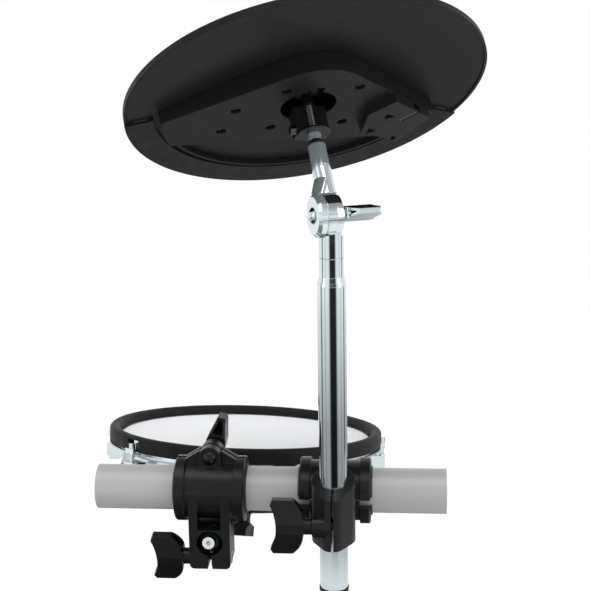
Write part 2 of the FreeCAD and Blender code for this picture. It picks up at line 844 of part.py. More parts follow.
def tom_clamp():
    """Left clamp: two arms hang a split block from the shell, and the block grips the rod's ball."""
    back = s.block_depth - SHELL_OUTER
    arms = []
    for low in (-s.block_half, s.arm_inner):
        arms.append(
            box(
                (low, -SHELL_OUTER, -s.block_top),
                (s.block_half - s.arm_inner, s.arm_depth, s.block_top + s.arm_top),
            )
        )
    round_low = s.block_bottom - s.block_corner
    flat_half = s.block_half - s.block_corner
    block = prism(
        [
            (-flat_half, -s.block_bottom),
            (flat_half, -s.block_bottom, s.block_corner),
            (s.block_half, -round_low),
            (s.block_half, -s.block_top),
            (-s.block_half, -s.block_top),
            (-s.block_half, -round_low, s.block_corner),
        ],
        s.block_depth,
        "XZ",
        (0, back, 0),
    )
    through = s.block_depth + s.overrun * 2
    slit_half = s.block_slit / 2
    notch_half = s.block_notch / 2
    notch_top = s.block_bottom - s.block_notch_height
    slit = prism(
        [
            (-slit_half, -s.carrier_drop),
            (-slit_half, -notch_top),
            (-notch_half, -s.block_bottom - s.overrun),
            (notch_half, -s.block_bottom - s.overrun),
            (slit_half, -notch_top),
            (slit_half, -s.carrier_drop),
        ],
        through,
        "XZ",
        (0, back + s.overrun, 0),
    )
    pinch = cylinder(
        PINCH_RADIUS + s.fit_gap,
        s.block_half * 2 + s.overrun * 2,
        (-s.block_half - s.overrun, -BALL_BACK, -s.block_pinch_drop),
        "X",
    )
    nut_place = shift(s.block_half - s.pinch_nut_height, -BALL_BACK, -s.block_pinch_drop)
    cuts = [
        sphere(s.ball_radius + s.fit_gap, (0, -BALL_BACK, -s.carrier_drop)),
        cylinder(s.ball_mouth_radius, through, (0, -SHELL_OUTER - s.overrun, -s.carrier_drop), "Y"),
        slit,
        pinch,
        nut_pocket(nut_place),
    ]
    clamp_liner("tom_clamp_liner", TOM_CLAMP)
    clamp_body("tom_clamp_body", [*arms, block], cuts, TOM_CLAMP)
    clamp_jaw("tom_clamp_jaw", TOM_CLAMP)
    clamp_fasteners("tom_clamp", TOM_CLAMP)
    pinch_nut("tom_pinch_nut", nut_place, TOM_CLAMP)
    face = shift(-s.block_half - s.fit_gap, -BALL_BACK, -s.block_pinch_drop)
    face = face.multiply(turn(X_AXIS, s.block_knob_turn_angle))
    seat = TOM_CLAMP.multiply(face).multiply(Placement(Vector(), ALONG["-X"]))
    wing_screw("tom_pinch_screw", s.knob_length, s.block_collar, s.block_half * 2, seat)


def tom_ball_and_rod():
    bore = ROD_RADIUS + s.fit_gap
    flat = box(
        (-s.ball_radius, -s.ball_flat, -s.ball_radius),
        (s.ball_radius * 2, s.ball_flat * 2, s.ball_radius * 2),
    )
    cuts = [cylinder(bore, s.ball_radius * 2 + s.overrun * 2, (0, -s.ball_radius - s.overrun, 0), "Y")]
    slit_length = s.ball_flat * 2 + s.overrun * 2
    for low in (-s.ball_radius, s.ball_radius - s.ball_slit_depth):
        cuts.append(
            box(
                (low, -s.ball_flat - s.overrun, -s.ball_slit / 2),
                (s.ball_slit_depth, slit_length, s.ball_slit),
            )
        )
    cuts.append(
        box(
            (-s.ball_slit / 2, -s.ball_flat - s.overrun, -s.ball_radius - s.overrun),
            (s.ball_slit, slit_length, s.ball_radius + s.overrun),
        )
    )
    node("tom_ball", cut(common(sphere(s.ball_radius), flat), *cuts), BALL)
    length = s.rod_front + s.tom_standoff - RECEIVER_GAP - s.bracket_wall - s.rod_end_gap
    rod = cylinder(ROD_RADIUS, length, (0, -s.rod_front, 0), "Y")
    socket_depth = s.rod_socket_depth + s.overrun
    socket = cylinder(s.rod_socket_diameter / 2, socket_depth, (0, -s.rod_front - s.overrun, 0), "Y")
    node("tom_rod", cut(rod, socket), BALL)


def cymbal_clamp():
    """Right clamp: the same clamp turned a quarter, with a split barrel that grips the cymbal tube."""
    rise = (s.barrel_radius - s.barrel_nose_radius) / s.barrel_nose_reach
    run = (as_size(1) - rise * rise).root()
    length = s.barrel_top + s.barrel_bottom
    at = (0, s.barrel_bottom, 0)
    flank = prism(
        [
            (-s.barrel_radius * run, -s.carrier_drop - s.barrel_radius * rise),
            (-s.barrel_nose_radius * run, -NOSE_PLACE - s.barrel_nose_radius * rise),
            (s.barrel_nose_radius * run, -NOSE_PLACE - s.barrel_nose_radius * rise),
            (s.barrel_radius * run, -s.carrier_drop - s.barrel_radius * rise),
        ],
        length,
        "XZ",
        at,
    )
    carrier = [
        cylinder(s.barrel_radius, length, (0, -s.barrel_top, -s.carrier_drop), "Y"),
        cylinder(s.barrel_nose_radius, length, (0, -s.barrel_top, -NOSE_PLACE), "Y"),
        cylinder(
            s.barrel_nose_radius,
            s.barrel_boss_reach,
            (-s.barrel_boss_reach, s.barrel_pinch_drop, -NOSE_PLACE),
            "X",
        ),
        flank,
    ]
    front = NOSE_PLACE + s.barrel_nose_radius + s.overrun
    rear = s.carrier_drop - s.barrel_radius
    through = length + s.overrun * 2
    half = s.barrel_radius + s.overrun
    oblique = prism(
        [
            (-s.barrel_top, -rear),
            (-s.barrel_top - s.overrun, -rear),
            (-s.barrel_top - s.overrun, -front),
            (-s.barrel_front_top, -front),
        ],
        half * 2,
        "YZ",
        (-half, 0, 0),
    )
    slit_half = s.barrel_slit / 2
    slit = box(
        (-slit_half, -s.barrel_top - s.overrun, -front),
        (s.barrel_slit, through, front - s.carrier_drop),
    )
    pinch_place = (-s.barrel_boss_reach - s.overrun, s.barrel_pinch_drop, -NOSE_PLACE)
    insert_end = slit_half + s.pinch_nut_height
    pinch_length = s.barrel_boss_reach + insert_end + s.overrun + s.fit_gap
    nut_place = shift(slit_half, s.barrel_pinch_drop, -NOSE_PLACE)
    insert_place = shift(slit_half - s.overrun, s.barrel_pinch_drop, -NOSE_PLACE)
    jaw_room = common(
        cylinder(SHELL_OUTER + s.fit_gap, half * 2, (-half, 0, 0), "X"),
        box((-half, 0, -FLANGE_OUTER), (half * 2, FLANGE_OUTER, FLANGE_OUTER)),
    )
    cuts = [
        jaw_room,
        cylinder(TUBE_RADIUS + s.fit_gap, through, (0, -s.barrel_top - s.overrun, -s.carrier_drop), "Y"),
        oblique,
        slit,
        cylinder(PINCH_RADIUS + s.fit_gap, pinch_length, pinch_place, "X"),
        nut_pocket(insert_place),
    ]
    clamp_liner("cymbal_clamp_liner", CYMBAL_CLAMP)
    clamp_body("cymbal_clamp_body", carrier, cuts, CYMBAL_CLAMP)
    clamp_jaw("cymbal_clamp_jaw", CYMBAL_CLAMP)
    clamp_fasteners("cymbal_clamp", CYMBAL_CLAMP)
    pinch_nut("barrel_nut", nut_place, CYMBAL_CLAMP)
    face = shift(-s.barrel_boss_reach - s.fit_gap, s.barrel_pinch_drop, -NOSE_PLACE)
    seat = CYMBAL_CLAMP.multiply(face).multiply(Placement(Vector(), ALONG["-X"]))
    seat = seat.multiply(turn(Z_AXIS, 90))
    shank = s.barrel_boss_reach + insert_end
    wing_screw("barrel_wing_screw", s.knob_length, s.barrel_collar, shank, seat)


def cymbal_tube():
    bore = TUBE_RADIUS - s.tube_wall
    neck_bore = NECK_RADIUS - s.tube_wall
    points = [
        (bore, -s.tube_below),
        (TUBE_RADIUS, -s.tube_below),
        (TUBE_RADIUS, s.tube_swage),
        (NECK_RADIUS, NECK_FOOT),
        (NECK_RADIUS, TUBE_END),
        (neck_bore, TUBE_END),
        (neck_bore, NECK_FOOT),
        (bore, s.tube_swage),
    ]
    node("cymbal_tube", turned(points), TUBE)
    lip = TUBE_RADIUS + s.cap_lip
    plug = bore - s.snug_gap
    cap = [
        (0, -s.tube_below - s.cap_height),
        (lip - s.cap_lip, -s.tube_below - s.cap_height),
        (lip, -s.tube_below - s.cap_height + s.cap_lip),
        (lip, -s.tube_below),
        (plug, -s.tube_below),
        (plug, -s.tube_below + s.cap_plug),
        (0, -s.tube_below + s.cap_plug),
    ]
    node("tube_end_cap", turned(cap), TUBE)


EAR_RIGHT = s.tilter_disc_left + s.fit_gap
EAR_LEFT = EAR_RIGHT + s.tilter_ear_thickness
TILTER_BOLT_RADIUS = s.tilter_bolt_diameter / 2
DISC_RIGHT = s.tilter_disc_thickness + s.tilter_step_thickness - s.tilter_disc_left
SPINDLE_RADIUS = s.spindle_diameter / 2
SPINDLE_BORE = SPINDLE_RADIUS + s.snug_gap


def tilter():
    """Base, arm, bolt and wing nut: the arm's disc is gripped against the disc on top of the base."""
    foot = s.pivot_rise
    spigot = NECK_RADIUS - s.tube_wall - s.fit_gap
    neck = turned(
        [
            (0, -foot - s.tilter_spigot),
            (spigot, -foot - s.tilter_spigot),
            (spigot, -foot + s.fit_gap),
            (NECK_RADIUS, -foot + s.fit_gap),
            (NECK_RADIUS, -NECK_RADIUS),
            (0, -NECK_RADIUS),
        ]
    )
    disc_right = s.tilter_disc_thickness - s.tilter_disc_left
    disc = turned(
        [
            (0, -s.tilter_disc_left),
            (s.tilter_disc_radius - s.stem_groove, -s.tilter_disc_left),
            (s.tilter_disc_radius, -s.tilter_disc_left + s.stem_groove),
            (s.tilter_disc_radius, disc_right),
            (s.tilter_step_radius, DISC_RIGHT),
            (0, DISC_RIGHT),
        ]
    )
    put(disc, (0, 0, 0), ALONG["X"])
    reach = EAR_LEFT * 2
    room_radius = s.tilter_ear_radius + s.fit_gap
    arm_room = cylinder(room_radius, reach, (-s.tilter_disc_left - reach, 0, 0), "X")
    nut_room = cylinder(room_radius, reach, (DISC_RIGHT, 0, 0), "X")
    base_hole = cylinder(TILTER_BOLT_RADIUS + s.snug_gap, reach, (-EAR_LEFT, 0, 0), "X")
    node("tilter_base", cut(fuse(neck, disc), arm_room, nut_room, base_hole), TILTER)
    groove = s.stem_upper_radius - s.stem_groove
    brow = s.stem_groove * 2
    stem = turned(
        [
            (0, 0),
            (s.stem_radius, 0),
            (s.stem_radius, s.stem_length - s.stem_groove),
            (groove, s.stem_length - s.stem_groove),
            (groove, s.stem_length),
            (s.stem_upper_radius, s.stem_length),
            (s.stem_upper_radius, s.stem_top - brow),
            (s.stem_upper_radius - brow, s.stem_top),
            (0, s.stem_top),
        ]
    )
    ear_disc = turned(
        [
            (0, -EAR_LEFT),
            (s.tilter_ear_radius - s.tilter_bevel, -EAR_LEFT),
            (s.tilter_ear_radius, -EAR_LEFT + s.tilter_bevel),
            (s.tilter_ear_radius, -EAR_RIGHT),
            (0, -EAR_RIGHT),
        ]
    )
    put(ear_disc, (0, 0, 0), ALONG["X"])
    ear_middle = EAR_RIGHT + s.tilter_ear_thickness / 2
    brace = cylinder(s.stem_radius, ear_middle / math.sin(math.radians(s.tilter_brace_angle.value)))
    brace.Placement = shift(-ear_middle).multiply(turn(Y_AXIS, s.tilter_brace_angle))
    brace_trim = box((-reach - EAR_LEFT + s.tilter_bevel, -reach, -reach), (reach, reach * 2, reach * 2))
    disc_room = cylinder(s.tilter_disc_radius + s.fit_gap, reach, (-EAR_RIGHT, 0, 0), "X")
    arm_hole = cylinder(TILTER_BOLT_RADIUS + s.fit_gap, reach * 2, (-reach, 0, 0), "X")
    socket = cylinder(SPINDLE_BORE, s.stem_top - s.spindle_foot + s.overrun, (0, 0, s.spindle_foot))
    arm = fuse(stem, cut(brace, brace_trim), ear_disc)
    node("tilter_arm", cut(arm, disc_room, arm_hole, socket), ARM)
    along = Placement(Vector(), ALONG["X"])
    length = EAR_LEFT + DISC_RIGHT + s.tilter_wing_length * 3 / 4
    bolt = turned(bolt_points(TILTER_BOLT_RADIUS, s.tilter_head_diameter / 2, s.tilter_head_height, length))
    node("tilter_bolt", bolt, TILTER.multiply(shift(-EAR_LEFT - s.fit_gap)).multiply(along))
    wing = wing_knob(
        s.tilter_wing_span,
        s.tilter_wing_length,
        s.tilter_wing_hub,
        s.tilter_wing_root,
        s.tilter_wing_tip,
        s.tilter_collar,
        s.tilter_collar_radius,
    )
    bore_length = s.tilter_wing_length * 3 / 4 + s.overrun
    bore = cylinder(TILTER_BOLT_RADIUS + s.fit_gap, bore_length, (0, 0, -s.overrun / 2))
    seat = TILTER.multiply(shift(DISC_RIGHT + s.fit_gap)).multiply(along)
    node("tilter_wing_nut", cut(wing, bore), seat.multiply(turn(Z_AXIS, s.tilter_wing_turn_angle)))


SEAT_TOP = s.stem_top + s.seat_nut_height
PLATE_LOW = SEAT_TOP + s.lock_nut_height
LOCK_TOP = PLATE_LOW + s.stopper_plate_thickness
STOPPER_TOP = LOCK_TOP + s.stopper_height
HUB_PLACE = s.cymbal_rise + s.core_hub_rise
FELT_FOOT = HUB_PLACE - s.felt_height
BELL_PLACE = s.cymbal_rise + s.bell_top
FELT_TOP = BELL_PLACE + s.felt_height


def spindle_stack():
    """What the spindle carries below and above the cymbal."""
    spindle = cylinder(SPINDLE_RADIUS, s.spindle_top - s.spindle_foot, (0, 0, s.spindle_foot))
    node("spindle", spindle, ARM)
    node("seat_nut", turned(ring_points(SPINDLE_BORE, s.seat_nut_radius, s.stem_top, SEAT_TOP)), ARM)
    lock = prism(hexagon_points(s.lock_nut_radius * 2), s.lock_nut_height, "XY", (0, 0, SEAT_TOP))
    lock_hole = cylinder(SPINDLE_BORE, s.lock_nut_height + s.overrun * 2, (0, 0, SEAT_TOP - s.overrun))
    node("lock_nut", cut(lock, lock_hole), ARM)
    block = box(
        (-s.stopper_half, -s.stopper_front, LOCK_TOP),
        (s.stopper_half * 2, s.stopper_front + s.stopper_back, s.stopper_height),
    )
    groove_length = s.stopper_height + s.overrun * 2
    groove = cylinder(SPINDLE_BORE, groove_length, (0, 0, LOCK_TOP - s.overrun))
    mouth = box(
        (-SPINDLE_BORE, -s.stopper_front - s.overrun, LOCK_TOP - s.overrun),
        (SPINDLE_BORE * 2, s.stopper_front + s.overrun, groove_length),
    )
    node("rotation_stopper", cut(block, groove, mouth), ARM)
    plate = box(
        (-s.stopper_half, -s.stopper_back, PLATE_LOW),
        (s.stopper_half * 2, s.stopper_back * 2, s.stopper_plate_thickness),
    )
    plate_trim = cylinder(s.stopper_half, s.stopper_plate_thickness, (0, 0, PLATE_LOW))
    plate_hole_length = s.stopper_plate_thickness + s.overrun * 2
    plate_hole = cylinder(SPINDLE_BORE, plate_hole_length, (0, 0, PLATE_LOW - s.overrun))
    node("stopper_plate", cut(common(plate, plate_trim), plate_hole), ARM)
    screw = cylinder(
        s.stopper_screw_radius,
        s.stopper_screw_length,
        (-s.stopper_half - s.stopper_screw_length, s.stopper_screw_radius, LOCK_TOP + s.stopper_screw_rise),
        "X",
    )
    node("stopper_screw", screw, ARM)
    flange_low = FELT_FOOT - s.sleeve_flange_height
    sleeve = [
        (SPINDLE_BORE, STOPPER_TOP),
        (s.sleeve_radius, STOPPER_TOP),
        (s.sleeve_radius, flange_low),
        (s.sleeve_flange_radius, flange_low),
        (s.sleeve_flange_radius, FELT_FOOT),
        (SPINDLE_BORE, FELT_FOOT),
    ]
    node("spindle_sleeve", turned(sleeve), ARM)
    felt_bore = SPINDLE_BORE
    lower = [
        (felt_bore, FELT_FOOT),
        (s.felt_radius, FELT_FOOT),
        (s.felt_radius, HUB_PLACE - s.felt_slope),
        (felt_bore, HUB_PLACE - s.felt_slope / 4),
    ]
    node("lower_felt", turned(lower), ARM)
    upper = [
        (felt_bore, BELL_PLACE + s.felt_slope / 4),
        (s.felt_radius, BELL_PLACE + s.felt_slope),
        (s.felt_radius, FELT_TOP),
        (felt_bore, FELT_TOP),
    ]
    node("upper_felt", turned(upper), ARM)
    low = FELT_TOP + s.fit_gap
    knob = turned(
        [
            (SPINDLE_RADIUS + s.fit_gap, low),
            (s.top_nut_radius, low),
            (s.top_nut_radius, low + s.top_nut_height * 3 / 4),
            (s.top_nut_radius * 3 / 4, low + s.top_nut_height),
            (SPINDLE_RADIUS + s.fit_gap, low + s.top_nut_height),
        ]
    )
    flutes = []
    for index in range(int(s.top_nut_flute_count.value)):
        angle = 2 * math.pi * index / s.top_nut_flute_count.value
        reach = s.top_nut_radius + s.top_nut_flute / 2
        at = (reach * math.cos(angle), reach * math.sin(angle), low + s.top_nut_height / 4)
        flutes.append(cylinder(s.top_nut_flute, s.top_nut_height, at))
    node("cymbal_top_nut", cut(knob, *flutes), ARM)


UNDERSIDE_SLOPE = s.core_middle_rise / (s.core_radius - s.core_middle_radius)
CYMBAL_RADIUS = s.core_radius + s.edge_bead
STRIKE_INNER = s.core_radius - s.strike_width
SENSOR_OUTER = s.core_radius - s.sensor_inset
SENSOR_INNER = SENSOR_OUTER - s.sensor_width
HOUSING_RADIUS = STRIKE_INNER - s.housing_margin
CORNER_ACROSS = (HOUSING_RADIUS * HOUSING_RADIUS - s.housing_corner_along * s.housing_corner_along).root()
JACK_PLACE = CORNER_ACROSS * JACK_SHARE


def underside(radius):
    """Height of the core's underside above the rim plane, outside its middle ring."""
    return (s.core_radius - radius) * UNDERSIDE_SLOPE


def sector(points):
    """A profile turned through the strike zone only."""
    item = turned(points, s.strike_sweep_angle)
    item.Placement = turn(Z_AXIS, s.strike_start_angle)
    return item


def cymbal_shells():
    """Moulded core, rubber playing skin with its thicker strike zone, and the edge switch between."""
    core = [
        (s.core_hole_radius, s.core_hub_rise),
        (s.core_hub_radius, s.core_hub_rise),
        (s.core_middle_radius, s.core_middle_rise),
        (s.core_radius, 0),
        (s.core_radius, s.core_rim, s.bow_radius),
        (s.bell_radius, s.bell_rise),
        (s.bell_top_radius, s.bell_top),
        (s.core_hole_radius, s.bell_top),
    ]
    node("cymbal_core", turned(core), CYMBAL)
    skin = [
        (s.bell_top_radius, s.bell_top),
        (s.bell_radius, s.bell_rise, -s.bow_radius),
        (s.core_radius, s.core_rim),
        (s.core_radius, -s.pad_lip),
        (CYMBAL_RADIUS, -s.pad_lip),
        (CYMBAL_RADIUS, s.core_rim + s.pad_lip, s.bow_radius + s.pad_thickness),
        (s.bell_radius, s.bell_rise + s.pad_thickness),
        (s.bell_top_radius, s.bell_top + s.pad_thickness),
    ]
    edge = underside(STRIKE_INNER)
    strike = [
        (STRIKE_INNER, edge - s.strike_thickness),
        (CYMBAL_RADIUS, -s.strike_thickness),
        (CYMBAL_RADIUS, -s.pad_lip),
        (s.core_radius, -s.pad_lip),
        (s.core_radius, 0),
        (STRIKE_INNER, edge),
    ]

    def strip(grow, depth):
        inner = SENSOR_INNER - grow
        outer = SENSOR_OUTER + grow
        return [
            (inner, underside(inner) - depth),
            (outer, underside(outer) - depth),
            (outer, underside(outer) + grow),
            (inner, underside(inner) + grow),
        ]

    groove = sector(strip(s.snug_gap, s.sensor_thickness + s.snug_gap))
    node("cymbal_skin", cut(fuse(turned(skin), sector(strike)), groove), CYMBAL)
    node("edge_sensor", sector(strip(as_size(0) * s.snug_gap, s.sensor_thickness)), CYMBAL)


def housing_points(wall):
    """Outline of the trigger housing: a rounded apex, two slanted sides and a round back."""
    apex = s.housing_apex_radius - wall
    across = CORNER_ACROSS - wall * CORNER_ACROSS_SHARE
    along = s.housing_corner_along + wall * CORNER_ALONG_SHARE
    side_across = apex * SIDE_ACROSS_SHARE
    side_along = -s.housing_apex - apex * SIDE_ALONG_SHARE
    back = (across * across + along * along).root()
    return [
        (-side_across, side_along, apex),
        (side_across, side_along),
        (across, along, back),
        (-across, along),
    ]


def trigger_housing():
    """Shallow box under the cymbal that holds the sensor and the jack."""
    low = -s.housing_drop
    height = s.housing_drop + s.core_hub_rise
    reach = CORNER_ACROSS + s.overrun
    outer = prism(housing_points(as_size(0) * s.housing_wall), height, "XY", (0, 0, low))
    inner = prism(housing_points(s.housing_wall), height, "XY", (0, 0, low + s.housing_wall))
    back_step = box((-reach, s.housing_back, low), (reach * 2, reach, s.housing_drop - s.housing_rim_drop))
    back_floor = box((-reach, s.housing_back, low), (reach * 2, reach, height))
    cross_wall = box(
        (-reach, s.housing_back - s.housing_wall, low),
        (reach * 2, s.housing_wall, height),
    )
    shell = cut(outer, inner, back_step)
    rim_inner = prism(housing_points(s.housing_wall), height, "XY", (0, 0, low))
    shell = cut(shell, common(rim_inner, back_floor))
    cross = common(cross_wall, prism(housing_points(s.housing_wall), height, "XY", (0, 0, low)))
    scale = CORNER_ACROSS
    jack_box = prism(
        [(scale * across, scale * along) for across, along in JACK_BOX_SHARES],
        s.jack_box_drop + s.housing_wall,
        "XY",
        (0, 0, low - s.jack_box_drop),
    )
    places = [(scale * across, scale * along) for across, along in HOUSING_SCREW_SHARES]
    bosses = [cylinder(s.housing_boss_radius, height, (*place, low)) for place in places]
    above = turned(
        [
            (0, s.core_hub_rise),
            (s.core_hub_radius, s.core_hub_rise),
            (s.core_middle_radius, s.core_middle_rise),
            (s.core_radius, 0),
            (s.core_radius, height),
            (0, height),
        ]
    )
    above.Placement = shift(0, 0, -s.snug_gap)
    cuts = [
        above,
        cylinder(s.housing_hole_radius, height * 2, (0, 0, low - s.overrun)),
        box(
            (-s.housing_keyhole_half, -s.housing_keyhole_reach, low - s.overrun),
            (s.housing_keyhole_half * 2, s.housing_keyhole_reach, s.housing_wall + s.overrun * 2),
        ),
    ]
    for place in places:
        start = (*place, low - s.overrun)
        cuts.append(cylinder(s.housing_recess_radius, s.housing_recess_depth + s.overrun, start))
        cuts.append(cylinder(s.housing_thread_radius + s.snug_gap, height * 2, start))
    hollow_low = low - s.jack_box_drop - s.overrun
    hollow_depth = s.hollow_depth + s.overrun
    side = s.hollow_side / 2
    for across, along in HOLLOW_SHARES:
        corners = [(-side, -side), (side, 0), (-side, side)]
        cuts.append(prism(corners, hollow_depth, "XY", (scale * across, scale * along, hollow_low)))
    across, along = ROUND_HOLLOW_SHARES
    cuts.append(cylinder(side * 3 / 4, hollow_depth, (scale * across, scale * along, hollow_low)))
    cuts.append(jack_barrel(s.jack_radius + s.snug_gap, s.jack_length, s.overrun))
    node("trigger_housing", cut(fuse(shell, cross, jack_box, *bosses), *cuts), CYMBAL)
    head = s.housing_screw_radius
    screw = turned(
        [
            (0, 0),
            (head, 0),
            (head, s.housing_screw_head),
            (s.housing_thread_radius, s.housing_screw_head),
            (s.housing_thread_radius, s.housing_screw_length),
            (0, s.housing_screw_length),
        ]
    )
    screw_low = low + s.housing_recess_depth - s.housing_screw_head
    spots = [shift(across, along, screw_low) for across, along in places]
    copies("housing_screws", screw, spots, CYMBAL)


def jack_frame(out):
    """Frame of the cymbal's jack: its mouth on the slanted side, its Z pointing into the housing."""
    run = JACK_PLACE - s.housing_apex_radius * SIDE_ACROSS_SHARE
    along = run * SIDE_ACROSS_SHARE / SIDE_ALONG_SHARE
    along = along - s.housing_apex - s.housing_apex_radius * SIDE_ALONG_SHARE
    across = JACK_PLACE + out * SIDE_ACROSS_SHARE
    along = along - out * SIDE_ALONG_SHARE
    up = -s.housing_drop - s.jack_box_drop / 2 + s.housing_wall / 2
    inward = Rotation(Z_AXIS, Vector(-SIDE_ACROSS_SHARE, SIDE_ALONG_SHARE, 0))
    return Placement(shift(across, along, up).Base, inward)


def jack_barrel(radius, length, out):
    item = cylinder(radius, length + out)
    item.Placement = jack_frame(out)
    return item


def jack_points(radius, length, collar):
    """A jack socket along Z, mouth at zero, with an outer collar of the given height below it."""
    bore = s.jack_bore_radius
    profile = [(0, length), (0, s.jack_bore_depth), (bore, s.jack_bore_depth)]
    if collar is None:
        return [*profile, (bore, 0), (radius, 0), (radius, length)]
    lip = s.jack_collar_radius
    return [*profile, (bore, -collar), (lip, -collar), (lip, 0), (radius, 0), (radius, length)]


def cymbal_electrics():
    jack = turned(jack_points(s.jack_radius, s.jack_length, None))
    node("cymbal_jack", jack, CYMBAL.multiply(jack_frame(as_size(0))))
    low = s.housing_wall - s.housing_drop
    across, along = PIEZO_SHARES
    at = (CORNER_ACROSS * across, CORNER_ACROSS * along, low)
    disc = cylinder(s.cymbal_piezo_radius, s.cymbal_piezo_thickness, at)
    node("cymbal_piezo", disc, CYMBAL)


TOM_JACK_PLACE = s.shell_radius - s.tom_jack_inset
HEAD_UNDER = s.head_drop + s.head_thickness
SHELL_EDGE = HEAD_UNDER + s.fit_gap
SHELL_LOW = s.shell_depth
COVER_FLOOR = s.tom_depth - s.cover_thickness
SKIRT_INNER = s.shell_radius + s.fit_gap
SKIRT_OUTER = SKIRT_INNER + s.head_thickness
FLANGE_LOW = s.hoop_flange_drop + s.hoop_flange_thickness
FLESH_LOW = FLANGE_LOW + s.flesh_ring_height
TOM_INSIDE = s.shell_radius - s.tom_shell_wall
HOOP_INNER = SKIRT_OUTER + s.hoop_inner_gap
BAND_INNER = HOOP_INNER + s.hoop_inner_leg
BAND_OUTER = BAND_INNER + s.hoop_band_wall
HOOP_OUTER = BAND_OUTER + s.hoop_outer_leg
SCREW_CIRCLE = BAND_OUTER + s.fit_gap + s.screw_head_diameter / 2
CLAW_INNER = BAND_OUTER + s.fit_gap
CLAW_REACH = SCREW_CIRCLE + s.claw_edge
LUG_REACH = SCREW_CIRCLE + s.lug_edge


def lug_turns():
    count = int(s.lug_count.value)
    return [turn(Z_AXIS, s.lug_turn_angle.value + 360 * index / count) for index in range(count)]


def around(item):
    """The item repeated at every lug, as one cutting tool."""
    doc.recompute()
    shapes = []
    for place in lug_turns():
        shape = item.Shape.copy()
        shape.Placement = place.multiply(shape.Placement)
        shapes.append(shape)
    tool = doc.addObject("Part::Feature", "Around")
    tool.Shape = Part.makeCompound(shapes)
    return tool


def tom_drum():
    """Shell, head, hoop and rubber cover, with the lugs, claws and screws that tension the head."""
    shell = turned(ring_points(TOM_INSIDE, s.shell_radius, -SHELL_LOW, -SHELL_EDGE))
    node("tom_shell", shell, TOM)
    head = [
        (0, -HEAD_UNDER),
        (SKIRT_INNER, -HEAD_UNDER),
        (SKIRT_INNER, -FLESH_LOW),
        (SKIRT_OUTER, -FLESH_LOW),
        (SKIRT_OUTER, -s.head_drop),
        (0, -s.head_drop),
    ]
    node("mesh_head", turned(head), TOM)
    flesh_outer = SKIRT_OUTER + s.flesh_ring_width
    node("flesh_ring", turned(ring_points(SKIRT_OUTER, flesh_outer, -FLESH_LOW, -FLANGE_LOW)), TOM)
    band = [
        (SKIRT_OUTER + s.fit_gap, -FLANGE_LOW),
        (HOOP_OUTER, -FLANGE_LOW),
        (HOOP_OUTER, -s.hoop_flange_drop),
        (BAND_OUTER, -s.hoop_flange_drop),
        (BAND_OUTER, -s.hoop_cover_top),
        (BAND_INNER, -s.hoop_cover_top),
        (BAND_INNER, -s.hoop_flange_drop),
        (SKIRT_OUTER + s.fit_gap, -s.hoop_flange_drop),
    ]
    hole_length = s.hoop_flange_thickness + s.overrun * 2
    hole = cylinder(
        s.screw_diameter / 2 + s.fit_gap,
        hole_length,
        (SCREW_CIRCLE, 0, -FLANGE_LOW - s.overrun),
    )
    node("tom_hoop", cut(turned(band), around(hole)), TOM)
    brow = HOOP_OUTER - s.hoop_round
    crown = HOOP_INNER + s.hoop_round
    cover = [
        (BAND_OUTER, -s.hoop_cover_height),
        (HOOP_OUTER, -s.hoop_cover_height),
        (HOOP_OUTER, -s.hoop_round, s.hoop_round),
        (brow, 0),
        (crown, 0, s.hoop_round),
        (HOOP_INNER, -s.hoop_round),
        (HOOP_INNER, -s.hoop_cover_lip),
        (BAND_INNER, -s.hoop_cover_lip),
        (BAND_INNER, -s.hoop_cover_top),
        (BAND_OUTER, -s.hoop_cover_top),
    ]
    notch_low = s.hoop_flange_drop + s.overrun
    notch = box(
        (BAND_OUTER - s.hoop_band_wall / 2, -s.notch_width / 2, -notch_low),
        (HOOP_OUTER, s.notch_width, notch_low - s.hoop_cover_top),
    )
    node("hoop_rubber", cut(turned(cover), around(notch)), TOM)
    lug_start = s.shell_radius - s.tom_shell_wall / 2
    lug_points = [
        (lug_start, -s.lug_bottom + s.lug_shoulder),
        (s.shell_radius + s.lug_shoulder, -s.lug_bottom),
        (LUG_REACH - s.lug_shoulder, -s.lug_bottom),
        (LUG_REACH, -s.lug_bottom + s.lug_shoulder),
        (LUG_REACH, -s.lug_top),
        (lug_start, -s.lug_top),
    ]
    lug_block = prism(lug_points, s.lug_width, "XZ", (0, s.lug_width / 2, 0))
    wall = cylinder(s.shell_radius + s.snug_gap, s.tom_depth * 2, (0, 0, -s.tom_depth * 2))
    thread = cylinder(
        s.screw_diameter / 2 + s.snug_gap,
        s.lug_bottom,
        (SCREW_CIRCLE, 0, -s.lug_bottom - s.overrun),
    )
    copies("tom_lugs", cut(lug_block, wall, thread), lug_turns(), TOM)
    claw_low = -s.hoop_flange_drop
    claw_block = box(
        (CLAW_INNER, -s.claw_width / 2, claw_low),
        (CLAW_REACH - CLAW_INNER, s.claw_width, s.claw_height),
    )
    claw_hole = cylinder(
        s.screw_diameter / 2 + s.fit_gap,
        s.claw_height + s.overrun * 2,
        (SCREW_CIRCLE, 0, claw_low - s.overrun),
    )
    copies("hoop_claws", cut(claw_block, claw_hole), lug_turns(), TOM)
    head_low = claw_low + s.claw_height
    screw = turned(
        [
            (0, head_low - s.screw_length),
            (s.screw_diameter / 2, head_low - s.screw_length),
            (s.screw_diameter / 2, head_low),
            (s.screw_head_diameter / 2, head_low),
            (s.screw_head_diameter / 2, head_low + s.screw_head_height),
            (0, head_low + s.screw_head_height),
        ]
    )
    offset = shift(SCREW_CIRCLE)
    copies("tension_screws", screw, [place.multiply(offset) for place in lug_turns()], TOM)


BRACKET_BACK = s.shell_radius + RECEIVER_GAP
BRACKET_FRONT = BRACKET_BACK + s.bracket_length
PLATE_END = BRACKET_BACK - s.bracket_plate_length


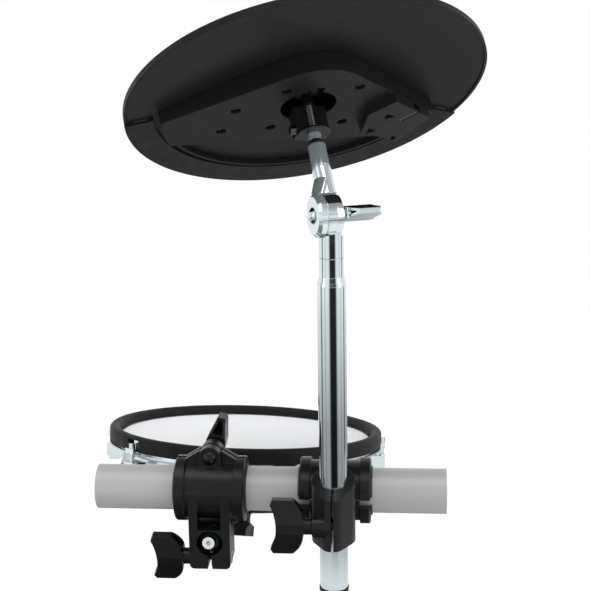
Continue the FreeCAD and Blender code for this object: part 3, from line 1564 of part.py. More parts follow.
def bracket_screw_places():
    """The bracket's four screws, in the tom's own frame."""
    across = s.bracket_flange - s.bracket_screw_head * 3 / 5
    inset = s.bracket_screw_head
    places = []
    for side in (-1, 1):
        for along in (-s.shell_radius + inset, -PLATE_END - inset):
            places.append((across * side - s.tom_side, along))
    return places


def tom_underside():
    """Bottom cover, and the bracket in front of it that takes the rod and its wing screw."""
    rim = s.shell_radius + s.cover_overlap
    ring_outer = TOM_INSIDE - s.snug_gap
    cover = turned(
        [
            (0, -s.tom_depth),
            (rim - s.cover_bevel, -s.tom_depth),
            (rim, -s.tom_depth + s.cover_bevel),
            (rim, -SHELL_LOW),
            (ring_outer, -SHELL_LOW),
            (ring_outer, -SHELL_LOW + s.cover_ring_height),
            (ring_outer - s.cover_ring_wall, -SHELL_LOW + s.cover_ring_height),
            (ring_outer - s.cover_ring_wall, -COVER_FLOOR),
            (0, -COVER_FLOOR),
        ]
    )
    drill = s.cover_thickness + s.overrun * 2
    cuts = [cylinder(s.jack_radius + s.snug_gap, drill, (TOM_JACK_PLACE, 0, -s.tom_depth - s.overrun))]
    for across, along in bracket_screw_places():
        start = (across, along, -s.tom_depth - s.overrun)
        cuts.append(cylinder(s.bracket_screw_diameter / 2 + s.snug_gap, drill, start))
    node("tom_bottom_cover", cut(cover, *cuts), TOM)
    bracket_screw = turned(
        [
            (0, -s.bracket_flange_thickness - s.bracket_screw_head_height),
            (s.bracket_screw_head / 2, -s.bracket_flange_thickness - s.bracket_screw_head_height),
            (s.bracket_screw_head / 2, -s.bracket_flange_thickness),
            (s.bracket_screw_diameter / 2, -s.bracket_flange_thickness),
            (s.bracket_screw_diameter / 2, s.cover_thickness),
            (0, s.cover_thickness),
        ]
    )
    spots = [shift(across, along, -s.tom_depth) for across, along in bracket_screw_places()]
    copies("bracket_screws", bracket_screw, spots, TOM)
    rod_line = -s.tom_rise
    low = rod_line - s.bracket_foot
    flange_low = -s.tom_depth - s.bracket_flange_thickness
    receiver = prism(
        [
            (-s.bracket_half - s.tom_side, low),
            (s.bracket_half - s.tom_side, low),
            (s.bracket_half - s.tom_side, rod_line, s.bracket_half),
            (-s.tom_side, rod_line + s.bracket_half, s.bracket_half),
            (-s.bracket_half - s.tom_side, rod_line),
        ],
        s.bracket_length,
        "XZ",
        (0, -BRACKET_BACK, 0),
    )
    seam = -BRACKET_BACK - s.bracket_wall
    web = prism(
        [
            (seam, low),
            (-BRACKET_BACK, low),
            (s.bracket_web_length - BRACKET_BACK, flange_low),
            (seam, flange_low),
        ],
        s.bracket_half * 2,
        "YZ",
        (-s.bracket_half - s.tom_side, 0, 0),
    )
    plate = box(
        (-s.bracket_flange - s.tom_side, -BRACKET_BACK, flange_low),
        (s.bracket_flange * 2, s.bracket_plate_length, s.bracket_flange_thickness),
    )
    pinch_along = s.bracket_pinch_inset - BRACKET_FRONT
    bore_length = s.bracket_length - s.bracket_wall + s.overrun
    bore_start = (-s.tom_side, -BRACKET_FRONT - s.overrun, rod_line)
    pinch_start = (-s.tom_side, pinch_along, rod_line)
    bracket_cuts = [
        cylinder(ROD_RADIUS + s.fit_gap, bore_length, bore_start, "Y"),
        cylinder(PINCH_RADIUS + s.fit_gap, s.bracket_half + s.overrun, pinch_start, "X"),
    ]
    for across, along in bracket_screw_places():
        hole_start = (across, along, flange_low - s.overrun)
        hole = s.bracket_screw_diameter / 2 + s.snug_gap
        bracket_cuts.append(cylinder(hole, s.bracket_flange_thickness + s.overrun * 2, hole_start))
    node("tom_bracket", cut(fuse(receiver, web, plate), *bracket_cuts), TOM)
    seat = TOM.multiply(shift(s.bracket_half - s.tom_side + s.fit_gap, pinch_along, rod_line))
    seat = seat.multiply(Placement(Vector(), ALONG["X"])).multiply(turn(Z_AXIS, s.bracket_knob_turn_angle))
    shank = s.bracket_half - ROD_RADIUS
    wing_screw("bracket_wing_screw", s.bracket_knob_length, s.bracket_collar, shank, seat)
    cover_head = turned(
        [
            (0, -s.bracket_screw_head_height),
            (s.bracket_screw_head / 2, -s.bracket_screw_head_height),
            (s.bracket_screw_head / 2, 0),
            (0, 0),
        ]
    )
    count = int(s.cover_screw_count.value)
    ring = shift(s.shell_radius - s.cover_screw_inset, 0, -s.tom_depth)
    circle = [turn(Z_AXIS, 360 * index / count).multiply(ring) for index in range(count)]
    copies("cover_screws", cover_head, circle, TOM)


def tom_electrics():
    """Sensor bridge, disc sensor and foam cone under the head, and the jack in the bottom cover."""
    floor = -COVER_FLOOR
    top = floor + s.bridge_height
    half = TOM_INSIDE - s.cover_ring_wall * 2
    deck = box(
        (-s.bridge_width / 2, -half, top - s.bridge_thickness),
        (s.bridge_width, half * 2, s.bridge_thickness),
    )
    feet = []
    for low in (-half, half - s.bridge_foot):
        sides = (s.bridge_width, s.bridge_foot, s.bridge_height)
        feet.append(box((-s.bridge_width / 2, low, floor), sides))
    node("sensor_bridge", fuse(deck, *feet), TOM)
    node("tom_piezo", cylinder(s.tom_piezo_radius, s.tom_piezo_thickness, (0, 0, top)), TOM)
    foot = top + s.tom_piezo_thickness
    tip = -HEAD_UNDER - s.snug_gap
    cone = [(0, foot), (s.cone_foot_radius, foot), (s.cone_tip_radius, tip), (0, tip)]
    node("foam_cone", turned(cone), TOM)
    jack = turned(jack_points(s.jack_radius, s.jack_length, s.jack_collar_height))
    node("tom_jack", jack, TOM.multiply(shift(TOM_JACK_PLACE, 0, -s.tom_depth)))


def check_and_write():
    """Stops on any failed feature, then writes each piece to its own file."""
    doc.recompute()
    for item in doc.Objects:
        if {"Invalid", "Error"} & set(item.State):
            raise RuntimeError(f"{item.Name} ({item.Label}) failed: {item.State}")
    os.makedirs("parts", exist_ok=True)
    for item in nodes:
        shape = item.Shape
        if shape.isNull() or not shape.isValid() or not shape.Solids:
            raise RuntimeError(f"{item.Label} has no valid shape")
        shape.exportStep(f"parts/{item.Label}.step")
    print(len(nodes), "pieces written")


rack_bar()
tom_clamp()
tom_ball_and_rod()
cymbal_clamp()
cymbal_tube()
tilter()
spindle_stack()
cymbal_shells()
trigger_housing()
cymbal_electrics()
tom_drum()
tom_underside()
tom_electrics()
check_and_write()
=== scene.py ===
"""Looks for a section of an electronic drum kit: rack bar, two pipe clamps, tom pad and cymbal pad."""

import json
import math
import random

import bmesh
import bpy
from mathutils import Matrix, Vector


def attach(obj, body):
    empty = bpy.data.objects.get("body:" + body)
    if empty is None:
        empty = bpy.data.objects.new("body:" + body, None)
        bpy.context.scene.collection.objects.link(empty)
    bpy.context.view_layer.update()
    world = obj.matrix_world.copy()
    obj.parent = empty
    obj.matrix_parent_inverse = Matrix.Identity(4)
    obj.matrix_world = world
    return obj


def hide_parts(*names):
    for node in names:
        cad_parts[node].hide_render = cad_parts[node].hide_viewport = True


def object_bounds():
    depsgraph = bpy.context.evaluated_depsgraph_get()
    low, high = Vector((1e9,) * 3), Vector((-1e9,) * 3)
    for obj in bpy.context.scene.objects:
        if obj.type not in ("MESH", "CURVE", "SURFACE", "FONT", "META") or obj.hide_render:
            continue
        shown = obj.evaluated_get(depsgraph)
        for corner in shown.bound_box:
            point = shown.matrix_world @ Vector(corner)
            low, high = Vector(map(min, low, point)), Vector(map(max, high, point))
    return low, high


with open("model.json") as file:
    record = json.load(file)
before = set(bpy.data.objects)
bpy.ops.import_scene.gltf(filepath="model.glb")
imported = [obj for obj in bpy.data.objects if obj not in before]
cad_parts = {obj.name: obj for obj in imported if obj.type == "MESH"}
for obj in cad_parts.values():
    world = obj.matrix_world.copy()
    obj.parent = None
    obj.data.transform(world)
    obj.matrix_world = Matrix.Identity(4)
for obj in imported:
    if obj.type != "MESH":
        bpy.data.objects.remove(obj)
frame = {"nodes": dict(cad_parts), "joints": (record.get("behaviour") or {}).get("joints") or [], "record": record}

CAD_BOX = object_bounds()
MIDDLE = (CAD_BOX[0] + CAD_BOX[1]) / 2
NODES = frame["nodes"]
JOINTS = {joint["name"]: joint for joint in frame["joints"]}
MOUNTS = {mount["name"]: mount for mount in frame["record"]["mounts"]}
SLOT_OF = {row["node"]: row["material_slot"] for row in frame["record"]["subparts"]}
ARM_UP = JOINTS["top_nut_spin"]["axis"]
TOM_UP = [-x for x in MOUNTS["tom_jack_socket"]["axis"]]
MM = 0.001
TURN = 2 * math.pi
TINY = 1e-9

# Camera, fitted to the photograph, in metres, degrees and pixels
IMAGE_WIDTH = 590
SENSOR = 36.0
CAMERA_PLACE = (0.2596, -1.0205, 0.4043)
CAMERA_PITCH = 12.852
CAMERA_YAW = -4.834
CAMERA_ROLL = -0.885
FOCAL_PIXELS = 1265.7
CLIP_START, CLIP_END = 0.05, 100.0

# Floor: the camera sees FLOOR_GLOW of it as plain light, and the rest as a matt surface with the part's shadow
FLOOR_HEIGHT = -0.5
FLOOR_HALF = 30.0
FLOOR_COLOUR = (0.9, 0.9, 0.9)
FLOOR_GLOW = 0.95
FLOOR_LIGHT = 1.02

# Lamps, all aimed at the part's middle: name, place, size and watts
LAMPS = (
    ("top_box", (0.15, -0.5, 2.15), (1.6, 1.6), 17.0),
    ("left_box", (-1.7, -1.0, 1.1), (0.9, 1.6), 3.0),
    ("right_box", (2.0, -0.7, 0.9), (0.7, 1.6), 9.0),
)

# World: the camera sees BACKDROP, and AMBIENT lights matt surfaces
BACKDROP = (0.992, 0.992, 0.992)
AMBIENT = (0.75, 0.75, 0.76)
# What metal sees of the world, as pairs of place and level. Heights run from 0, straight down, to 1, straight up.
# The plain studio by height
ROOM_RISE = (
    (0.2, 0.4),
    (0.26, 0.5),
    (0.28, 0.86),
    (0.32, 0.8),
    (0.5, 0.95),
    (0.65, 0.8),
    (0.82, 0.45),
    (1.0, 0.3),
)
# The heights at which the ground takes the studio's place, and the ground from left, 0, to right, 1
ROOM_GROUND = ((0.2, 1.0), (0.265, 0.0))
ROOM_SIDE = ((0.48, 0.02), (0.53, 0.15), (0.6, 1.0))
# The heights at which the room with the dark front takes the studio's place
ROOM_FRONT = (
    (0.285, 0.0),
    (0.305, 1.0),
    (0.42, 1.0),
    (0.45, 0.0),
    (0.55, 0.0),
    (0.57, 1.0),
    (0.63, 1.0),
    (0.66, 0.0),
)
# That room from its front, 0, to its back, 1, how far its front is turned to the right, and how it dims downwards
ROOM_ROUND = (
    (0.0, 0.02),
    (0.12, 0.03),
    (0.19, 0.9),
    (0.32, 1.0),
    (0.36, 0.55),
    (0.4, 1.0),
    (0.49, 1.0),
    (0.53, 0.25),
    (0.57, 0.25),
    (0.61, 1.0),
)
FRONT_TURN = 0.068
ROOM_DIM = ((0.32, 0.34), (0.337, 0.42), (0.367, 0.75), (0.39, 1.0))


# Shaders

SOCKETS = {
    "metallic": "Metallic",
    "specular": "Specular IOR Level",
    "sheen": "Sheen Weight",
    "sheen_roughness": "Sheen Roughness",
}
# Most values of a noise texture lie between these two
NOISE_LOW, NOISE_HIGH = 0.3, 0.7
# A wave texture of scale one runs through this angle per metre
WAVE_ANGLE = 20
BEVEL_SAMPLES = 6


class Nodes:
    """The node tree of a material or a world, with short calls for adding and joining nodes."""

    def __init__(self, owner):
        owner.use_nodes = True
        self.tree = owner.node_tree
        self.tree.nodes.clear()

    def add(self, kind, **settings):
        made = self.tree.nodes.new(kind)
        for key, value in settings.items():
            setattr(made, key, value)
        return made

    def link(self, start, end):
        self.tree.links.new(start, end)

    def put(self, socket, value):
        """Feeds a socket from another node's output, or sets it to a number or a colour."""
        if isinstance(value, bpy.types.NodeSocket):
            self.link(value, socket)
        elif isinstance(value, tuple):
            socket.default_value = (*value, 1.0)
        else:
            socket.default_value = value

    def math(self, operation, *values):
        made = self.add("ShaderNodeMath", operation=operation)
        for socket, value in zip(made.inputs, values):
            self.put(socket, value)
        return made.outputs["Value"]

    def mix(self, share, first, second, blend_type="MIX"):
        made = self.add("ShaderNodeMixRGB", blend_type=blend_type)
        for socket, value in (("Fac", share), ("Color1", first), ("Color2", second)):
            self.put(made.inputs[socket], value)
        return made.outputs["Color"]

    def ramp(self, value, stops):
        """Colours by value, from pairs of place and colour."""
        made = self.add("ShaderNodeValToRGB")
        marks = made.color_ramp.elements
        while len(marks) < len(stops):
            marks.new(0.5)
        for mark, (place, colour) in zip(marks, stops):
            mark.position = place
            mark.color = (*colour, 1.0)
        self.link(value, made.inputs["Fac"])
        return made.outputs["Color"]

    def rays(self):
        """One where the stage is seen plainly, and one where it is mirrored."""
        path = self.add("ShaderNodeLightPath").outputs
        return self.math("MAXIMUM", path["Is Camera Ray"], path["Is Transmission Ray"]), path["Is Glossy Ray"]


class Shader(Nodes):
    """A material with one principled surface, and short calls for the textures that feed it."""

    def __init__(self, name, **constants):
        self.material = bpy.data.materials.new(name)
        super().__init__(self.material)
        self.surface = self.add("ShaderNodeBsdfPrincipled")
        out = self.add("ShaderNodeOutputMaterial")
        self.link(self.surface.outputs["BSDF"], out.inputs["Surface"])
        self.place = self.add("ShaderNodeTexCoord").outputs["Object"]
        for key, value in constants.items():
            self.surface.inputs[SOCKETS[key]].default_value = value

    def feed(self, socket, value):
        self.link(value, self.surface.inputs[socket])

    def stretched(self, stretch):
        mapping = self.add("ShaderNodeMapping")
        mapping.inputs["Scale"].default_value = stretch
        self.link(self.place, mapping.inputs["Vector"])
        return mapping.outputs["Vector"]

    def noise(self, size, detail=3.0, roughness=0.5, stretch=None):
        """Noise whose features are about size metres across."""
        made = self.add("ShaderNodeTexNoise")
        made.inputs["Scale"].default_value = 1 / size
        made.inputs["Detail"].default_value = detail
        made.inputs["Roughness"].default_value = roughness
        self.link(self.stretched(stretch) if stretch else self.place, made.inputs["Vector"])
        return made.outputs["Fac"]

    def cells(self, size):
        """Cells about size metres across, by the way from their middles."""
        made = self.add("ShaderNodeTexVoronoi")
        made.inputs["Scale"].default_value = 1 / size
        self.link(self.place, made.inputs["Vector"])
        return made.outputs["Distance"]

    def waves(self, size, direction):
        """Fine straight threads, size metres apart."""
        made = self.add("ShaderNodeTexWave", wave_type="BANDS", bands_direction=direction)
        made.inputs["Scale"].default_value = TURN / (WAVE_ANGLE * size)
        self.link(self.place, made.inputs["Vector"])
        return made.outputs["Fac"]

    def both(self, first, share, second):
        """Two textures added, the first with the given share."""
        return self.math("ADD", self.math("MULTIPLY", first, share), self.math("MULTIPLY", second, 1 - share))

    def tint(self, value, low, high, start=NOISE_LOW, end=NOISE_HIGH):
        """A texture's value from start to end, mapped onto two colours."""
        return self.ramp(value, ((start, low), (end, high)))

    def spread(self, value, low, high, start=NOISE_LOW, end=NOISE_HIGH):
        """A texture's value from start to end, mapped onto two numbers."""
        made = self.add("ShaderNodeMapRange")
        for socket, number in (("From Min", start), ("From Max", end), ("To Min", low), ("To Max", high)):
            made.inputs[socket].default_value = number
        self.link(value, made.inputs["Value"])
        return made.outputs["Result"]

    def soft_edges(self, radius):
        """Edges catch light as if they were rounded by radius metres."""
        made = self.add("ShaderNodeBevel", samples=BEVEL_SAMPLES)
        made.inputs["Radius"].default_value = radius
        return made.outputs["Normal"]

    def bump(self, height, depth, normal=None, strength=1.0):
        """Relief of depth metres by a texture's value."""
        made = self.add("ShaderNodeBump")
        made.inputs["Strength"].default_value = strength
        made.inputs["Distance"].default_value = depth
        self.link(height, made.inputs["Height"])
        if normal is not None:
            self.link(normal, made.inputs["Normal"])
        return made.outputs["Normal"]


def grey(value, blue=0.0):
    return (value, value, value * (1 + blue))


def cool(value):
    """The bluish grey of chrome."""
    red, blue = 0.9, 1.03
    return (value * red, value, value * blue)


def moulded(name, dark, light, rough, grain, depth, edge, specular=0.5):
    """Moulded plastic: cloudy colour, a fine spark-eroded grain and softened edges."""
    blue = 0.08
    made = Shader(name, specular=specular)
    cloud = made.noise(size=0.018, detail=4.0)
    made.feed("Base Color", made.tint(cloud, grey(dark, blue), grey(light, blue)))
    made.feed("Roughness", made.spread(made.noise(size=0.006), *rough))
    fine = made.noise(size=grain, detail=2.0, roughness=0.6)
    made.feed("Normal", made.bump(fine, depth, made.soft_edges(edge)))
    return made.material


def plated(name, low, high, rough, edge, scratch=2e-6, metallic=1.0):
    """Bright plating with faint polishing marks and small changes in gloss."""
    made = Shader(name, metallic=metallic)
    cloud = made.noise(size=0.03)
    made.feed("Base Color", made.tint(cloud, cool(low), cool(high)))
    made.feed("Roughness", made.spread(made.noise(size=0.008, detail=5.0, roughness=0.65), *rough))
    marks = made.noise(size=0.0006, roughness=0.6, stretch=(1.0, 1.0, 0.08))
    made.feed("Normal", made.bump(marks, scratch, made.soft_edges(edge)))
    return made.material


def anodised_bar():
    """Satin anodised tube with the fine drawn lines of an extrusion along X."""
    made = Shader("bar_satin", metallic=0.25)
    lines = made.noise(size=0.0005, detail=4.0, roughness=0.6, stretch=(0.004, 1.0, 1.0))
    cloud = made.noise(size=0.04, stretch=(0.3, 1.0, 1.0))
    tone = made.both(lines, 0.5, cloud)
    made.feed("Base Color", made.tint(tone, grey(0.47), grey(0.51), start=0.35, end=0.65))
    made.feed("Roughness", made.spread(lines, 0.42, 0.54))
    made.feed("Normal", made.bump(lines, depth=4e-6))
    return made.material


def moulded_rubber(name, dark, light):
    """Matt rubber with fine pores and softened edges."""
    made = Shader(name, specular=0.2, sheen=0.04, sheen_roughness=0.5)
    cloud = made.noise(size=0.03, detail=5.0)
    made.feed("Base Color", made.tint(cloud, grey(dark), grey(light)))
    made.feed("Roughness", made.spread(made.noise(size=0.01, detail=4.0), 0.5, 0.64))
    pores = made.noise(size=0.0005, detail=2.0, roughness=0.7)
    made.feed("Normal", made.bump(pores, 2.5e-5, made.soft_edges(0.0006)))
    return made.material


def zinc(name, low, high):
    """Zinc plated steel: slightly mottled and duller than chrome."""
    blue = 0.03
    made = Shader(name, metallic=1.0)
    spots = made.cells(size=0.0012)
    made.feed("Base Color", made.tint(spots, grey(low, blue), grey(high, blue), start=0.1, end=0.8))
    made.feed("Roughness", made.spread(made.noise(size=0.003, detail=4.0), 0.24, 0.4))
    made.feed("Normal", made.bump(made.noise(size=0.0004), 6e-6, made.soft_edges(0.0002)))
    return made.material


def woven_head():
    """White two-ply mesh: two sets of threads that cross, with small gaps between them."""
    pitch = 0.00055
    made = Shader("head_mesh", specular=0.3, sheen=0.15, sheen_roughness=0.4)
    weave = made.math("MAXIMUM", made.waves(pitch, "X"), made.waves(pitch, "Y"))
    cloud = made.noise(size=0.04, detail=4.0)
    tone = made.both(weave, 0.75, cloud)
    made.feed("Base Color", made.tint(tone, (0.86, 0.875, 0.89), (0.95, 0.96, 0.97), start=0.2))
    made.feed("Roughness", made.spread(cloud, 0.55, 0.7))
    made.feed("Normal", made.bump(weave, depth=0.00012, strength=0.6))
    return made.material


def pressed_felt():
    """Black felt: fine fibres in larger tufts."""
    made = Shader("felt_black", specular=0.15, sheen=0.35, sheen_roughness=0.5)
    fibres = made.noise(size=0.0004, detail=8.0, roughness=0.75, stretch=(1.0, 1.0, 2.2))
    tufts = made.noise(size=0.002, detail=5.0, roughness=0.6)
    tone = made.both(fibres, 0.6, tufts)
    made.feed("Base Color", made.tint(tone, grey(0.008), grey(0.06), start=0.35))
    made.feed("Roughness", made.spread(fibres, 0.85, 1.0))
    made.feed("Normal", made.bump(tone, depth=0.0004))
    return made.material


def open_foam():
    """Grey foam with open cells, darkest in the middle of each cell, where the bump sinks a hollow: painted shade
    in the hollows.
    """
    made = Shader("foam_grey", specular=0.2, sheen=0.2)
    cells = made.cells(size=0.0011)
    # Painted shade: the colour darkens towards each cell's middle, the same place where the bump below makes a
    # hollow.
    made.feed("Base Color", made.tint(cells, grey(0.03), grey(0.17), start=0.1))
    made.feed("Roughness", made.spread(cells, 0.8, 0.95, start=0.1, end=0.8))
    made.feed("Normal", made.bump(cells, depth=0.0006))
    return made.material


def sensor_disc():
    """Brass with stains of tarnish."""
    made = Shader("sensor_disc", metallic=1.0)
    stain = made.noise(size=0.006, detail=6.0, roughness=0.65)
    made.feed("Base Color", made.tint(stain, (0.55, 0.40, 0.17), (0.80, 0.63, 0.32)))
    made.feed("Roughness", made.spread(stain, 0.22, 0.42))
    made.feed("Normal", made.bump(made.noise(size=0.0004, detail=4.0), depth=4e-6))
    return made.material


MATERIALS = {
    "bar_metal": anodised_bar(),
    "black_plastic": moulded(
        "plastic_black", 0.006, 0.009, rough=(0.26, 0.38), grain=0.0004, depth=1.6e-5, edge=0.001, specular=0.32
    ),
    "liner_plastic": moulded(
        "plastic_liner", 0.035, 0.05, rough=(0.3, 0.42), grain=0.0007, depth=5e-6, edge=0.0003
    ),
    "chrome": plated("chrome", 0.78, 0.84, rough=(0.03, 0.09), edge=0.0004),
    "black_metal": plated("metal_black", 0.03, 0.05, rough=(0.28, 0.4), edge=0.0003, scratch=6e-6),
    "steel": zinc("steel_zinc", 0.42, 0.58),
    "black_rubber": moulded_rubber("rubber_black", 0.006, 0.010),
    "white_mesh": woven_head(),
    "black_felt": pressed_felt(),
    "grey_foam": open_foam(),
    "sensor_brass": sensor_disc(),
    "sensor_film": moulded(
        "sensor_film", 0.10, 0.14, rough=(0.15, 0.25), grain=0.001, depth=4e-6, edge=0.0001
    ),
    "jack_plastic": moulded(
        "plastic_jack", 0.012, 0.018, rough=(0.18, 0.3), grain=0.0008, depth=6e-6, edge=0.0003
    ),
}
# A darker copy of the zinc steel for the spindle and the stopper screw: painted dark reflection, its low colour
# standing in for the dark surroundings these parts mirror.
STEEL_PAINTED_DARK_REFLECTION = zinc("steel_painted_dark_reflection", 0.10, 0.15)
UNDERSIDE = moulded(
    "plastic_underside", 0.014, 0.016, rough=(0.42, 0.48), grain=0.00035, depth=1.2e-5, edge=0.0014, specular=0.12
)
CAST_CHROME = plated("chrome_cast", 0.82, 0.88, rough=(0.05, 0.11), edge=0.0004, metallic=0.74)
# Nodes that look a little different from the rest of their slot. The darker steel among them has painted dark
# reflection in its colour.
OWN_LOOKS = {
    "cymbal_core": UNDERSIDE,
    "trigger_housing": UNDERSIDE,
    "tilter_arm": CAST_CHROME,
    "lock_nut": CAST_CHROME,
    "stopper_screw": STEEL_PAINTED_DARK_REFLECTION,
}


def dress(piece, material):
    piece.data.materials.clear()
    piece.data.materials.append(material)


for name, piece in NODES.items():
    dress(piece, OWN_LOOKS.get(name, MATERIALS[SLOT_OF[name]]))


# Pieces that stand for soft or threaded solids


def axis_frame(node, up):
    """A frame on a turned node's own axis, its foot at zero, and the node's radius and height."""
    turn = Vector(up).normalized().to_track_quat("Z", "Y").to_matrix()
    points = [turn.transposed() @ vertex.co for vertex in NODES[node].data.vertices]
    low = Vector([min(p[i] for p in points) for i in range(3)])
    high = Vector([max(p[i] for p in points) for i in range(3)])
    middle = (low + high) / 2
    made = turn.to_4x4()
    made.translation = turn @ Vector((middle.x, middle.y, low.z))
    return made, (high.x - low.x) / 2, high.z - low.z


def add_object(name, data):
    piece = bpy.data.objects.new(name, data)
    bpy.context.scene.collection.objects.link(piece)
    return piece


def finished(name, work, place):
    """A smooth object from a bmesh that was built about Z, moved to its place."""
    work.transform(place)
    mesh = bpy.data.meshes.new(name)
    work.to_mesh(mesh)
    work.free()
    for face in mesh.polygons:
        face.use_smooth = True
    return add_object(name, mesh)


def lathe(name, profile, around, place, closed=True, shake=0.0, seed=0):
    """A turned mesh about Z. Points at radius zero become one vertex, and shake roughens the surface."""
    draw = random.Random(seed)
    work = bmesh.new()
    rings = []
    for radius, height in profile:
        if radius < TINY:
            rings.append([work.verts.new((0, 0, height))])
            continue
        ring = []
        for k in range(around):
            angle = TURN * k / around
            r = radius + draw.uniform(-shake, shake)
            z = height + draw.uniform(-shake, shake)
            ring.append(work.verts.new((r * math.cos(angle), r * math.sin(angle), z)))
        rings.append(ring)
    pairs = list(zip(rings, rings[1:]))
    if closed:
        pairs.append((rings[-1], rings[0]))
    for low, high in pairs:
        for k in range(around):
            n = (k + 1) % around
            if len(low) == 1:
                work.faces.new((low[0], high[k], high[n]))
            elif len(high) == 1:
                work.faces.new((low[k], high[0], low[n]))
            else:
                work.faces.new((low[k], high[k], high[n], low[n]))
    bmesh.ops.recalc_face_normals(work, faces=work.faces)
    return finished(name, work, place)


def stand_in(piece, node, body, material_slot):
    """Puts a finished piece in a CAD node's place."""
    dress(piece, MATERIALS[material_slot])
    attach(piece, body)
    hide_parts(node)


def felt_washer(node, seed):
    """A felt with a bulging edge and rough faces."""
    place, radius, height = axis_frame(node, ARM_UP)
    back = place.inverted()
    hole = min((back @ vertex.co).xy.length for vertex in NODES[node].data.vertices)
    bulge = 0.35 * MM
    inset = 0.25 * MM
    shake = 0.09 * MM
    edge_steps, face_steps, around = 10, 6, 72
    profile = []
    for k in range(edge_steps + 1):
        angle = math.pi * (k / edge_steps - 0.5)
        out = radius - inset - bulge * (1 - math.cos(angle)) * 2
        profile.append((out, height / 2 + math.sin(angle) * (height / 2 - inset)))
    low_edge, top_edge = profile[0][0], profile[-1][0]
    inner = hole + inset
    for k in range(1, face_steps + 1):
        profile.append((top_edge + (inner - top_edge) * k / face_steps, height - inset))
    for k in range(face_steps):
        profile.append((inner + (low_edge - inner) * k / face_steps, inset))
    piece = lathe(node + "_pad", profile, around, place, shake=shake, seed=seed)
    stand_in(piece, node, "arm", "black_felt")


def mesh_cloth():
    """The mesh head: one round cloth drawn over the shell's edge and down to the flesh ring."""
    place, radius, height = axis_frame("mesh_head", TOM_UP)
    inset = 0.15 * MM
    bend = 2.0 * MM
    flat_steps, bend_steps, drop_steps, around = 48, 8, 8, 144
    rim = radius - inset
    top = height - inset
    profile = [((rim - bend) * k / flat_steps, top) for k in range(flat_steps + 1)]
    for k in range(1, bend_steps + 1):
        angle = TURN / 4 * k / bend_steps
        profile.append((rim - bend + bend * math.sin(angle), top - bend + bend * math.cos(angle)))
    skirt = top - bend - inset
    for k in range(1, drop_steps + 1):
        profile.append((rim, top - bend - skirt * k / drop_steps))
    piece = lathe("mesh_head_cloth", profile, around, place, closed=False)
    stand_in(piece, "mesh_head", "tom", "white_mesh")


def sensor_cone():
    """The foam cone under the head, with the rough skin of cut foam."""
    place, radius, height = axis_frame("foam_cone", TOM_UP)
    back = place.inverted()
    points = [back @ vertex.co for vertex in NODES["foam_cone"].data.vertices]
    top_share = 0.99
    tip = max(p.xy.length for p in points if p.z > height * top_share)
    inset = 0.3 * MM
    shake = 0.2 * MM
    rise_steps, cap_steps, around = 24, 5, 64
    foot = radius - inset
    crown = tip - inset
    profile = [(foot * k / cap_steps, inset) for k in range(cap_steps)]
    for k in range(rise_steps + 1):
        share = k / rise_steps
        profile.append((foot + (crown - foot) * share, inset + (height - 2 * inset) * share))
    profile += [(crown * (1 - k / cap_steps), height - inset) for k in range(1, cap_steps + 1)]
    piece = lathe("foam_cone_pad", profile, around, place, closed=False, shake=shake, seed=7)
    stand_in(piece, "foam_cone", "tom", "grey_foam")


def threaded_spindle():
    """The cymbal's spindle with its thread: a round bar whose radius follows a helix."""
    place, radius, height = axis_frame("spindle", ARM_UP)
    pitch = 1.0 * MM
    depth = 0.45 * MM
    steps_per_pitch, around = 5, 20
    rings = int(height / pitch * steps_per_pitch)
    work = bmesh.new()
    grid = []
    for level in range(rings + 1):
        up = height * level / rings
        ring = []
        for k in range(around):
            phase = (up / pitch - k / around) % 1.0
            r = radius - depth * (1 - abs(2 * phase - 1))
            angle = TURN * k / around
            ring.append(work.verts.new((r * math.cos(angle), r * math.sin(angle), up)))
        grid.append(ring)
    for low, high in zip(grid, grid[1:]):
        for k in range(around):
            n = (k + 1) % around
            work.faces.new((low[k], low[n], high[n], high[k]))
    work.faces.new(grid[0][::-1])
    work.faces.new(grid[-1])
    piece = finished("spindle_thread", work, place)
    stand_in(piece, "spindle", "arm", "chrome")
    # The thread takes the darker steel copy, whose colour is painted dark reflection.
    dress(piece, STEEL_PAINTED_DARK_REFLECTION)


felt_washer("lower_felt", 3)
felt_washer("upper_felt", 4)
mesh_cloth()
sensor_cone()
threaded_spindle()


# Stage, light and camera


def floor():
    material = bpy.data.materials.new("floor_pale")
    made = Nodes(material)
    plain, _ = made.rays()
    matt = made.add("ShaderNodeBsdfDiffuse")
    made.put(matt.inputs["Color"], FLOOR_COLOUR)
    glow = made.add("ShaderNodeEmission")
    made.put(glow.inputs["Strength"], FLOOR_LIGHT)
    mix = made.add("ShaderNodeMixShader")
    out = made.add("ShaderNodeOutputMaterial")
    made.link(made.math("MULTIPLY", plain, FLOOR_GLOW), mix.inputs["Fac"])
    made.link(matt.outputs["BSDF"], mix.inputs[1])
    made.link(glow.outputs["Emission"], mix.inputs[2])
    made.link(mix.outputs["Shader"], out.inputs["Surface"])
    mesh = bpy.data.meshes.new("floor")
    corners = [(-1, -1), (1, -1), (1, 1), (-1, 1)]
    mesh.from_pydata([(x * FLOOR_HALF, y * FLOOR_HALF, FLOOR_HEIGHT) for x, y in corners], [], [(0, 1, 2, 3)])
    piece = add_object("floor", mesh)
    piece.visible_glossy = False
    dress(piece, material)


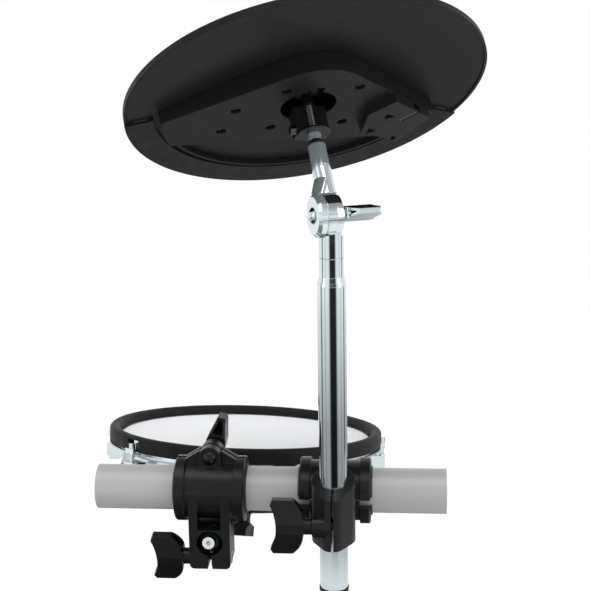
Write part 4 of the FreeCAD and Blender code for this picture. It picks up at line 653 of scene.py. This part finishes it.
def studio():
    """White all round for the camera. Metal sees a white studio too, with a dark front and a ground below."""
    world = bpy.data.worlds.new("studio")
    bpy.context.scene.world = world
    made = Nodes(world)

    def levels(value, stops):
        return made.ramp(value, [(place, grey(level)) for place, level in stops])

    parts = made.add("ShaderNodeSeparateXYZ")
    made.link(made.add("ShaderNodeTexCoord").outputs["Generated"], parts.inputs["Vector"])
    across, ahead, up = (parts.outputs[axis] for axis in "XYZ")
    around = made.math("DIVIDE", made.math("ARCTAN2", across, made.math("MULTIPLY", ahead, -1.0)), math.pi)
    angle = made.math("ABSOLUTE", made.math("SUBTRACT", around, FRONT_TURN))
    height = made.math("MULTIPLY_ADD", up, 0.5, 0.5)
    side = made.math("MULTIPLY_ADD", across, 0.5, 0.5)
    plain, mirrored = made.rays()

    room = made.mix(1.0, levels(angle, ROOM_ROUND), levels(height, ROOM_DIM), "MULTIPLY")
    open_studio = made.mix(levels(height, ROOM_GROUND), levels(height, ROOM_RISE), levels(side, ROOM_SIDE))
    reflection = made.mix(levels(height, ROOM_FRONT), open_studio, room)
    seen = made.mix(plain, made.mix(mirrored, AMBIENT, reflection), BACKDROP)
    sky = made.add("ShaderNodeBackground")
    out = made.add("ShaderNodeOutputWorld")
    made.link(seen, sky.inputs["Color"])
    made.link(sky.outputs["Background"], out.inputs["Surface"])


def lamp(name, place, size, watts):
    data = bpy.data.lights.new(name, "AREA")
    data.shape = "RECTANGLE"
    data.size, data.size_y = size
    data.energy = watts
    piece = add_object(name, data)
    piece.location = place
    piece.rotation_mode = "QUATERNION"
    piece.rotation_quaternion = (Vector(MIDDLE) - Vector(place)).to_track_quat("-Z", "Y")


def camera():
    pitch, yaw, roll = (math.radians(a) for a in (CAMERA_PITCH, CAMERA_YAW, CAMERA_ROLL))
    ahead = Vector(
        (math.sin(yaw) * math.cos(pitch), math.cos(yaw) * math.cos(pitch), -math.sin(pitch))
    )
    level = Vector((math.cos(yaw), -math.sin(yaw), 0))
    up = level.cross(ahead)
    right = math.cos(roll) * level + math.sin(roll) * up
    top = math.cos(roll) * up - math.sin(roll) * level
    data = bpy.data.cameras.new("camera")
    data.sensor_fit = "HORIZONTAL"
    data.sensor_width = SENSOR
    data.lens = FOCAL_PIXELS * SENSOR / IMAGE_WIDTH
    data.clip_start, data.clip_end = CLIP_START, CLIP_END
    piece = add_object("camera", data)
    axes = Matrix((right, top, -ahead)).transposed().to_4x4()
    axes.translation = Vector(CAMERA_PLACE)
    piece.matrix_world = axes
    bpy.context.scene.camera = piece


floor()
studio()
for row in LAMPS:
    lamp(*row)
camera()
bpy.context.scene.view_settings.view_transform = "Standard"
